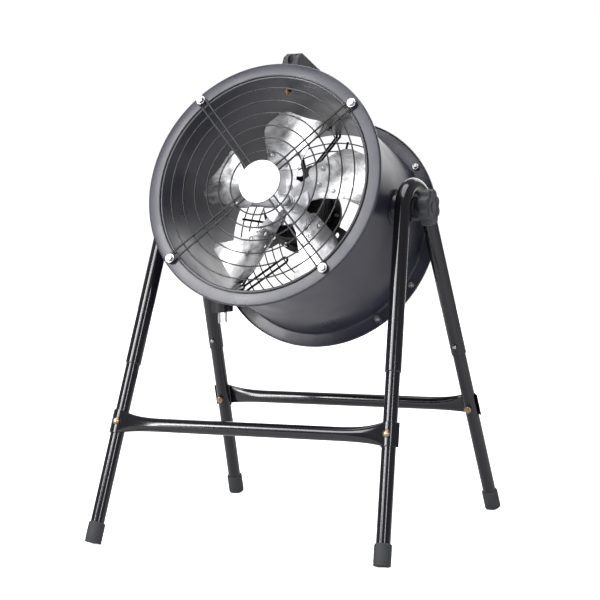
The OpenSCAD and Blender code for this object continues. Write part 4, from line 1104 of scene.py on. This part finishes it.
def hairpin_path(inner_r, inner_half, outer_r, outer_half, height):
    """Wire from the middle out, round a bolt and back."""
    taper = math.asin((outer_half - inner_half) / (outer_r - inner_r))
    end = Vector((outer_r - outer_half * math.sin(taper), outer_half * math.cos(taper), height))
    start = end - (outer_r - inner_r) * Vector((math.cos(taper), math.sin(taper), 0))
    arc = []
    for k in range(17):
        angle = RIGHT_ANGLE + taper - (math.pi + 2 * taper) * k / 16
        arc.append(Vector(polar(outer_half, angle, height)) + Vector((outer_r, 0, 0)))
    return [start, start.lerp(end, 0.5)] + arc


def bolt_shape(radius=BOLT_R):
    """Hexagon screw with its washer on the end of a wire loop, head up."""
    place = move(radius, 0, 0)
    shape = Shape(lathe([(0, 0.0), (7.2, 0.0), (7.4, 0.2), (7.4, 1.4), (7.2, 1.6), (0, 1.6)], 48), place)
    shape.add(hex_head(5.77, 4.2), place @ move(0, 0, 1.6) @ turn(0.4, "Z"))
    return shape.add(lathe([(0, 1), (3, 1), (3, -14), (2.4, -14.6), (0, -14.6)], 24), place)


class DUCTFAN_OT_guards(bpy.types.Operator):
    """Builds the wire guards, their bolts and the plain badge"""

    bl_idname = "duct_fan.guards"
    bl_label = "Guards and Badge"

    def execute(self, context):
        sets = context.scene.duct_fan_guards
        wire_r, spoke_r = sets.ring_wire / 2 / MM, sets.spoke_wire / 2 / MM
        ring_s = HALF_LEN + wire_r + 0.1
        spoke_s = ring_s + wire_r + spoke_r + 0.05
        top_s = spoke_s + spoke_r + 0.1
        self.rings("front_guard_rings", "front_guard", sets.ring_count, OUTER_RING_R * MM,
                   sets.ring_pitch, sets.ring_wire / 2, ring_s)
        inner = OUTER_RING_R - (sets.ring_count - 1) * sets.ring_pitch / MM - 6
        path = hairpin_path(inner, 4.7, BOLT_R, LOOP_R, spoke_s)
        wire = path + [Vector((p.x, -p.y, p.z)) for p in path[1::-1]]
        copies("front_guard_spokes", Shape(tube(wire, spoke_r, 14)), "guard_paint", 4, FRONT_ANGLE,
               "front_guard")
        self.rear(sets)
        self.bolts(top_s)
        profile = [(0, 0), (34.6, 0), (35, 0.4), (35, 1.5), (34.7, 1.85), (34.2, 2), (0, 2)]
        badge = Shape(lathe([(r, top_s + z) for r, z in profile], 96))
        solid("plain_badge", badge, "fan_head", "badge_white", "front_badge", place=HEAD)
        carry_over("guard_nuts")
        return {"FINISHED"}

    def rings(self, name, node, count, outer, pitch, wire, height):
        """Rings of one guard, grown by the ring tree."""
        piece = grown(linked(name, bpy.data.meshes.new(name)), rings_tree, HEAD @ move(0, 0, height),
                      count=count, outer_radius=outer, pitch=pitch, wire_radius=wire,
                      finish=finish_of("guard_paint"))
        settle(piece, "fan_head", "guard_paint", node)

    def rear(self, sets):
        """Rear guard: rings, four bent hairpins and four single spokes."""
        arm_s, loop_s = -HALF_LEN + 8, -HALF_LEN - 2.1
        self.rings("rear_guard_rings", "rear_rings", sets.rear_count, REAR_RING_R * MM,
                   sets.rear_pitch, 0.0011, arm_s - 3.15)
        outward = bent_path([(ARM_ROOT_R, ARM_HALF, arm_s), (DUCT_R - 6, ARM_HALF, arm_s),
                             (DUCT_R + 1, LOOP_R, loop_s), (BOLT_R, LOOP_R, loop_s)], 4)
        bolt, root = Vector((BOLT_R, 0, 0)), Vector((ARM_ROOT_R, 0, 0))
        wire = outward + [bolt + Vector(polar(LOOP_R, RIGHT_ANGLE - math.pi * k / 12, loop_s))
                          for k in range(1, 12)]
        wire += [Vector((p.x, -p.y, p.z)) for p in reversed(outward)]
        wire += [root + Vector(polar(ARM_HALF, -RIGHT_ANGLE - math.pi * k / 8, arm_s))
                 for k in range(1, 8)]
        copies("rear_guard_arms", Shape(tube(wire, 2, 14, closed=True)), "guard_paint", 4, REAR_ANGLE,
               "rear_guard")
        single = Shape(tube([(80, 0, arm_s), (120, 0, arm_s), (160.5, 0, arm_s)], 2, 14))
        copies("rear_guard_spokes", single, "guard_paint", 4, REAR_ANGLE + 45, "rear_guard")

    def bolts(self, front_s):
        """Bolts of both guards and of the motor stays."""
        turned = HEAD @ turn(math.pi, "X")
        for name, radius, count, first, place in (
                ("front_guard_bolts", BOLT_R, 4, FRONT_ANGLE, HEAD @ move(0, 0, front_s)),
                ("rear_guard_bolts", BOLT_R, 4, -REAR_ANGLE, turned @ move(0, 0, HALF_LEN + 4.2)),
                ("stay_bolts", STAY_BOLT_R, 3, -STAY_ANGLE, turned @ move(0, 0, HALF_LEN + 2.7))):
            copies(name, bolt_shape(radius), "zinc", count, first, "guard_bolts", place=place)


class DUCTFAN_OT_motor(bpy.types.Operator):
    """Builds the motor with its shields, bracket, lead and terminal box"""

    bl_idname = "duct_fan.motor"
    bl_label = "Motor"

    def execute(self, context):
        back, front, base, rear = -44, 8, 8.1, -48.3
        corners = [(49, back, 0.3), (61.5, back, 0.8), (61.5, back + 3, 0.8), (52, back + 3, 1.2)]
        for z in range(back + 12, front - 5, 7):
            corners += [(52, z, 0.4), (50.8, z, 0.4), (50.8, z + 3, 0.4), (52, z + 3, 0.4)]
        corners += [(52, front, 1.4), (49, front, 0.4)]
        shield = [(7.1, 4.4, 0.3), (7.1, 9, 0.4), (18.5, 9, 1.4), (20, 4, 1.5), (49, 4, 1.5),
                  (52, 2.6, 1.0), (52, 0, 0.3), (7.1, 0, 0.2)]
        shield = [(r, base + z, f) for r, z, f in shield]
        for name, node, profile in (("motor_shell", "motor_housing", corners),
                                    ("front_shield", "motor_front_shield", shield)):
            solid(name, Shape(lathe(rounded(profile, steps=3), 96, ring=True)), "fan_head",
                  "motor_paint", node, place=HEAD)
        fin = rounded([(17, base + 3, 0), (47.6, base + 3, 0), (46.8, base + 7.6, 1.4),
                       (40, base + 8.9, 3), (17, base + 8.9, 0)])
        copies("front_shield_fins", Shape(plate(fin, -1.5, 1.5, 0.5), turn(RIGHT_ANGLE, "X")),
               "motor_paint", context.scene.duct_fan_fan.fin_count, 0, "motor_front_shield")
        cover = [(0, 0, 0), (61.5, 0, 0.4), (61.5, -2.9, 0.8), (52, -3.1, 1.5), (50, -11.9, 2),
                 (45, -31.9, 4), (41, -35.9, 3), (0, -35.9, 0)]
        cover = rounded([(r, rear + z, f) for r, z, f in cover], closed=False)
        solid("rear_shield", Shape(lathe(cover, 96)), "fan_head", "motor_paint", "motor_rear_shield",
              place=HEAD)
        eased_copy("motor_bracket", "motor_stays", "fan_head", "motor_paint", 0.3, 1)
        solid("motor_cable", Shape(tube(smooth_path(MOTOR_LEAD, 4), 4, 20)), "fan_head", "cord_rubber",
              "motor_lead", place=HEAD)
        for node, name, slot, width, segments in (
                ("terminal_box", "terminal_box_body", "black_plastic", 1.2, 3),
                ("terminal_box_lid", "terminal_box_cover", "black_plastic", 1.0, 3),
                ("bracket_screws", "flange_screws", "zinc", 0.3, 1)):
            eased_copy(node, name, "fan_head", slot, width, segments)
        carry_over("terminal_box_screws", "run_capacitor", "stator_core", "stator_windings",
                   "motor_bearings")
        return {"FINISHED"}


# Round corners of a blade: middle, radius and the two angles of each arc
BLADE_TURNS = ((64, -14, 10, 180, 250), (93, -39.5, 0, 0, 0), (120, -53, 10, 215, 340),
               (136, -2, 19, -20, 40), (116, 4, 30, 40, 95), (64, 20, 10, 100, 180))


def blade_outline():
    """A blade's outline, from its root round by the trailing edge."""
    out = []
    for x, y, radius, start, stop in BLADE_TURNS:
        for k in range(9 if radius else 1):
            dx, dy = polar(radius, math.radians(start + (stop - start) * k / 8))
            out.append((x + dx, y + dy))
    return out


def curved_sheet(outline, low, high):
    """A sheet of an outline, rolled to the blades' hollow front between two offsets."""
    work = bmesh.new()
    work.faces.new([work.verts.new((x, y, 0)) for x, y in outline])
    for y in range(-62, 40, 3):
        bmesh.ops.bisect_plane(work, geom=work.verts[:] + work.edges[:] + work.faces[:],
                               plane_co=(0, y, 0), plane_no=(0, 1, 0))
    work.verts.ensure_lookup_table()
    work.verts.index_update()
    count = len(work.verts)
    points = []
    for offset in (low, high):
        for v in work.verts:
            radius = CAMBER_R - offset
            angle = math.asin(v.co.y / CAMBER_R)
            points.append((v.co.x, radius * math.sin(angle), CAMBER_R - radius * math.cos(angle)))
    faces = [[v.index for v in f.verts][::-1] for f in work.faces]
    faces += [[v.index + count for v in f.verts] for f in work.faces]
    for edge in work.edges:
        if len(edge.link_faces) == 1:
            a, b = (v.index for v in edge.verts)
            faces.append([a, b, b + count, a + count])
    work.free()
    return points, faces


class DUCTFAN_OT_impeller(bpy.types.Operator):
    """Builds the impeller: blades, hub with its arms, rivets and nut"""

    bl_idname = "duct_fan.impeller"
    bl_label = "Impeller"

    def execute(self, context):
        sets = context.scene.duct_fan_fan
        count, first = sets.blade_count, math.degrees(sets.blade_turn)
        place = move(0, 0, IMPELLER_S) @ turn(sets.blade_pitch, "X")
        arm = [(13, -11, 0), (30, -15, 8), (60, -21, 6), (82, -25, 4), (88, -19, 3)]
        arm += [(x, -y, f) for x, y, f in reversed(arm)]
        rivets = Shape()
        face = lathe([(0, 1.1), (4, 1.1), (3.9, 1.6), (3.2, 2.3), (2, 2.65), (0, 2.75)], 24)
        tail = lathe([(0, -5.9), (3.2, -5.9), (3.6, -5.5), (3.6, -4.2), (0, -4.2)], 24)
        for x, y in ((62, 0), (80, -20), (80, 20)):
            spot = place @ move(x, 0, CAMBER_R) @ turn(math.asin(y / CAMBER_R), "X") \
                @ move(0, 0, -CAMBER_R)
            rivets.add(face, spot).add(tail, spot)
        dome = lathe([(0, 36.9), (4.4, 36.9), (4.3, 37.6), (3.4, 38.6), (1.6, 39.2), (0, 39.3)], 28)
        copies("blades", Shape(curved_sheet(blade_outline(), -1, 1), place), "polished_aluminium", count,
               first, *(f"blade_{i}" for i in range(1, 6)), body="impeller")
        copies("hub_arms", Shape(curved_sheet(rounded(arm), -4.1, -1.1), place), "cast_aluminium", count,
               first, "impeller_hub", body="impeller")
        hub = rounded([(6, 20, 0.3), (15, 20, 1), (15, 33.6, 1.5), (40, 33.6, 1), (40, 36.8, 1),
                       (15, 36.9, 0.3), (15, 38, 0.4), (6, 38, 0.3)], steps=3)
        solid("hub_casting", Shape(lathe(hub, 96, ring=True)), "impeller", "cast_aluminium",
              "impeller_hub", place=HEAD)
        copies("blade_fixings", rivets, "zinc", count, first, "blade_rivets", body="impeller")
        copies("hub_rivets", Shape(dome, move(24, 0, 0)), "zinc", 3, 78, body="impeller")
        eased_copy("hub_nut", "shaft_nut", "impeller", "zinc", 0.5)
        eased_copy("impeller_shaft", "shaft_rod", "impeller", "steel", 0.6)
        carry_over("rotor_core")
        return {"FINISHED"}


# ---- Stand ----

class DUCTFAN_OT_knobs(bpy.types.Operator):
    """Builds the two lobed knobs that clamp the head"""

    bl_idname = "duct_fan.knobs"
    bl_label = "Knobs"

    def execute(self, context):
        rings = []
        for depth, size in ((0, 0.86), (0.5, 0.9), (2, 0.985), (4, 1), (15, 1), (17, 0.97), (18.4, 0.9),
                            (19, 0.82), (18.6, 0.62), (17.9, 0.5)):
            ring = []
            for k in range(160):
                angle = 2 * math.pi * k / 160
                wave = 0.5 + 0.5 * math.cos(KNOB_LOBES * angle)
                radius = (KNOB_R - LOBE_DEPTH * (1 - wave) ** 1.6) * size
                ring.append(polar(radius, angle, KNOB_X + depth))
            rings.append(ring)
        collar = [(5.1, 211.9), (12.4, 211.9), (13, 212.5), (13, 223), (5.1, 223)]
        cap = [(0, 239.5), (9, 239.5), (9.4, 240), (8.6, 240.9), (0, 241)]
        shape = Shape(loft(rings)).add(lathe(collar, 64, ring=True)).add(lathe(cap, 48))
        for side, node in ((1, "right_knob"), (-1, "left_knob")):
            solid(node + "_grip", shape, node, "grey_plastic", node, place=HEAD @ flip(side) @ ABOUT_X)
        return {"FINISHED"}


def arch_path():
    """Centre line of the right arch from the rear seam over the top to the front seam."""
    stretch = math.sqrt(1 + LEAN_X ** 2)
    lean = math.atan(LEAN_Y / stretch)
    arc_r = (LEG_HALF_Y * math.cos(lean) - ARCH_RISE * math.sin(lean)) / (1 - math.sin(lean))
    arc_w = PIVOT * stretch + ARCH_RISE - arc_r
    plane = move(FOOT.x, 0, 0) @ turn(-math.atan(LEAN_X), "Y")
    arc = []
    for k in range(41):
        y, z = polar(arc_r, lean + (math.pi - 2 * lean) * k / 40)
        arc.append(plane @ Vector((0, y, arc_w + z)))
    front = FOOT + LEG_DIR * SEAM_W
    rear = Vector((front.x, -front.y, front.z))
    return [rear, rear.lerp(arc[0], 0.5)] + arc + [front.lerp(arc[-1], 0.5), front]


class DUCTFAN_OT_stand(bpy.types.Operator):
    """Builds the tubular stand: arches, gussets, legs, feet and buttons"""

    bl_idname = "duct_fan.stand"
    bl_label = "Stand"

    def execute(self, context):
        collar = lathe([(3.25, 10.5), (5.6, 10.5), (5.4, 12.7), (4.9, 13.0), (3.4, 12.95), (3.25, 12.6)],
                       32, ring=True)
        for side, node in ((1, "right_arch"), (-1, "left_arch")):
            shape = Shape(tube(arch_path(), UPPER_R, 40))
            for end in (-1, 1):
                shape.add(collar, leg_place(1, end) @ move(0, 0, BUTTON_W) @ turn(-RIGHT_ANGLE, "X"))
            solid(node + "_tube", shape, "stand", "stand_paint", node, place=flip(side))
        for side, end in CORNERS:
            corner = ("rear_" if end > 0 else "front_") + ("right" if side > 0 else "left")
            path = [leg_place(side, end) @ Vector((0, 0, w))
                    for w in (12 / LEG_DIR.z, BOLT_W, SEAM_W + INSERT_LEN)]
            leg, button = "lower_leg_" + corner, "button_" + corner
            solid(leg + "_tube", Shape(tube(path, LOWER_R, 40)), "stand", "stand_paint", leg)
            eased_copy(button, button + "_cap", button, "zinc", 0.3)
        eased_copy("gusset_plates", "gussets", "stand", "stand_paint", 0.6)
        eased_copy("friction_washers", "fibre_washers", "stand", "fibre", 0.3)
        self.feet()
        carry_over("spring_clips")
        return {"FINISHED"}

    def feet(self):
        """Rubber feet pressed flat on the floor, each with a rolled top edge."""
        shape = Shape()
        start = 4.2
        corners = [(0, 0, 0), (13.2, 0, 0.8), (13.5, 3, 0.6), (12.9, 3.6, 0.4), (12.9, 4.4, 0.4),
                   (13.5, 5, 0.6), (13.4, 30.5, 1.2), (12.3, 33, 0.8), (11.1, 33, 0.3), (11.1, 12, 0)]
        profile = rounded([(r, start + z, f) for r, z, f in corners], closed=False, steps=3)
        points, faces = lathe(profile + [(0, start + 12)], 64)
        for side, end in CORNERS:
            place = leg_place(side, end)
            flat = [place @ Vector(p) for p in points]
            for p in flat:
                p.z = max(p.z, 0.0)
            shape.add((flat, faces))
        solid("foot_mouldings", shape, "stand", "rubber", "rubber_feet")


def bar_flare():
    """Rings from the round bar to its flattened end beside the front right leg."""
    leg = leg_place(1, -1)
    bar_y = FOOT.y + LEAN_Y * BAR_H - 10
    leg_x = FOOT.x - LEAN_X * BAR_H
    rings = []
    for i in range(17):
        t = i / 16
        ease = 0.45 * t * t + 0.55 * t ** 4
        ring = []
        for k in range(48):
            cos, sin = polar(1, 2 * math.pi * k / 48)
            back = FLARE_LEN * (t - 1)
            round_end = Vector((leg_x - 10 + back, bar_y + BAR_R * cos, BAR_H + BAR_R * sin))
            depth = -9.6 + math.copysign(abs(cos) ** 0.5, cos) * 2.2
            flat_z = math.copysign(abs(sin) ** 0.55, sin) * 18.6
            flat_end = leg @ Vector((-math.sqrt(CUP_FACE_R ** 2 - depth ** 2), depth, BOLT_W + flat_z))
            flat_end.x += back
            ring.append(round_end.lerp(flat_end, ease))
        rings.append(ring)
    return rings


def cup_rings():
    """Cupped sheet round the outer side of a leg."""
    first, turned = 194, 152
    rings = []
    for z in (-CUP_HALF_H, 0.6 - CUP_HALF_H, CUP_HALF_H - 0.6, CUP_HALF_H):
        thin = 0.5 if abs(z) == CUP_HALF_H else 0
        outer = [polar(CUP_OUTER_R - thin, math.radians(first + turned * k / 24)) for k in range(25)]
        outer += [(15.7, 0.2), (15.2, 1.3)]
        inner = [polar(CUP_INNER_R + thin * 0.3, math.radians(first + turned - turned * k / 24))
                 for k in range(25)]
        rings.append([(x, y, BOLT_W + z) for x, y in outer + inner])
    return rings


class DUCTFAN_OT_crossbars(bpy.types.Operator):
    """Builds the two crossbars with their cupped ends and bolts"""

    bl_idname = "duct_fan.crossbars"
    bl_label = "Crossbars"

    def execute(self, context):
        right = bar_flare()
        left = [[Vector((-p.x, p.y, p.z)) for p in ring] for ring in reversed(right)]
        for end, node in ((-1, "front_crossbar"), (1, "rear_crossbar")):
            shape = Shape(loft(left + right))
            for side in (-1, 1):
                shape.add(loft(cup_rings()), flip(side) @ leg_place(1, -1))
            solid(node + "_tube", shape, "stand", "stand_paint", node, place=flip(1, -end))
        head = lathe([(0, 13), (6, 13), (6.1, 13.3), (5.7, 14.4), (4.6, 15.6), (3, 16.6), (2.4, 16.9),
                      (2.2, 16.4), (0, 16.3)], 40)
        nut = lathe([(0, -11.4), (5.9, -11.4), (6, -11.7), (6, -17.4), (5.4, -17.9), (3, -17.9),
                     (3, -19), (0, -19)], 40)
        bolts = Shape()
        for side, end in CORNERS:
            spot = leg_place(side, end) @ move(0, 0, BOLT_W) @ turn(RIGHT_ANGLE, "X")
            bolts.add(head, spot).add(nut, spot)
        solid("crossbar_bolts", bolts, "stand", "yellow_zinc", "crossbar_fasteners")
        return {"FINISHED"}


# ---- Panel and registration ----

OPERATORS = (DUCTFAN_OT_camera, DUCTFAN_OT_cord, DUCTFAN_OT_drum, DUCTFAN_OT_guards, DUCTFAN_OT_motor,
             DUCTFAN_OT_impeller, DUCTFAN_OT_knobs, DUCTFAN_OT_stand, DUCTFAN_OT_crossbars,
             DUCTFAN_OT_stage)


class DUCTFAN_PT_panel(bpy.types.Panel):
    """Lists the settings and the pieces"""

    bl_label = "Duct Fan"
    bl_idname = "DUCTFAN_PT_panel"
    bl_space_type = "VIEW_3D"
    bl_region_type = "UI"
    bl_category = "Duct Fan"

    def draw(self, context):
        for name in SETTINGS:
            box = self.layout.box()
            sets = getattr(context.scene, name)
            for key in type(sets).__annotations__:
                box.prop(sets, key)
        for operator in OPERATORS:
            self.layout.operator(operator.bl_idname)


SETTINGS = {"duct_fan_guards": DuctFanGuards, "duct_fan_fan": DuctFanFan, "duct_fan_cord": DuctFanCord,
            "duct_fan_finish": DuctFanFinish, "duct_fan_studio": DuctFanStudio}
CLASSES = tuple(SETTINGS.values()) + OPERATORS + (DUCTFAN_PT_panel,)


def register():
    for kind in CLASSES:
        bpy.utils.register_class(kind)
    for name, kind in SETTINGS.items():
        setattr(bpy.types.Scene, name, PointerProperty(type=kind))


def unregister():
    for name in SETTINGS:
        delattr(bpy.types.Scene, name)
    for kind in reversed(CLASSES):
        bpy.utils.unregister_class(kind)


def main():
    register()
    for operator in OPERATORS:
        group, name = operator.bl_idname.split(".")
        getattr(getattr(bpy.ops, group), name)()


if __name__ == "__main__":
    main()
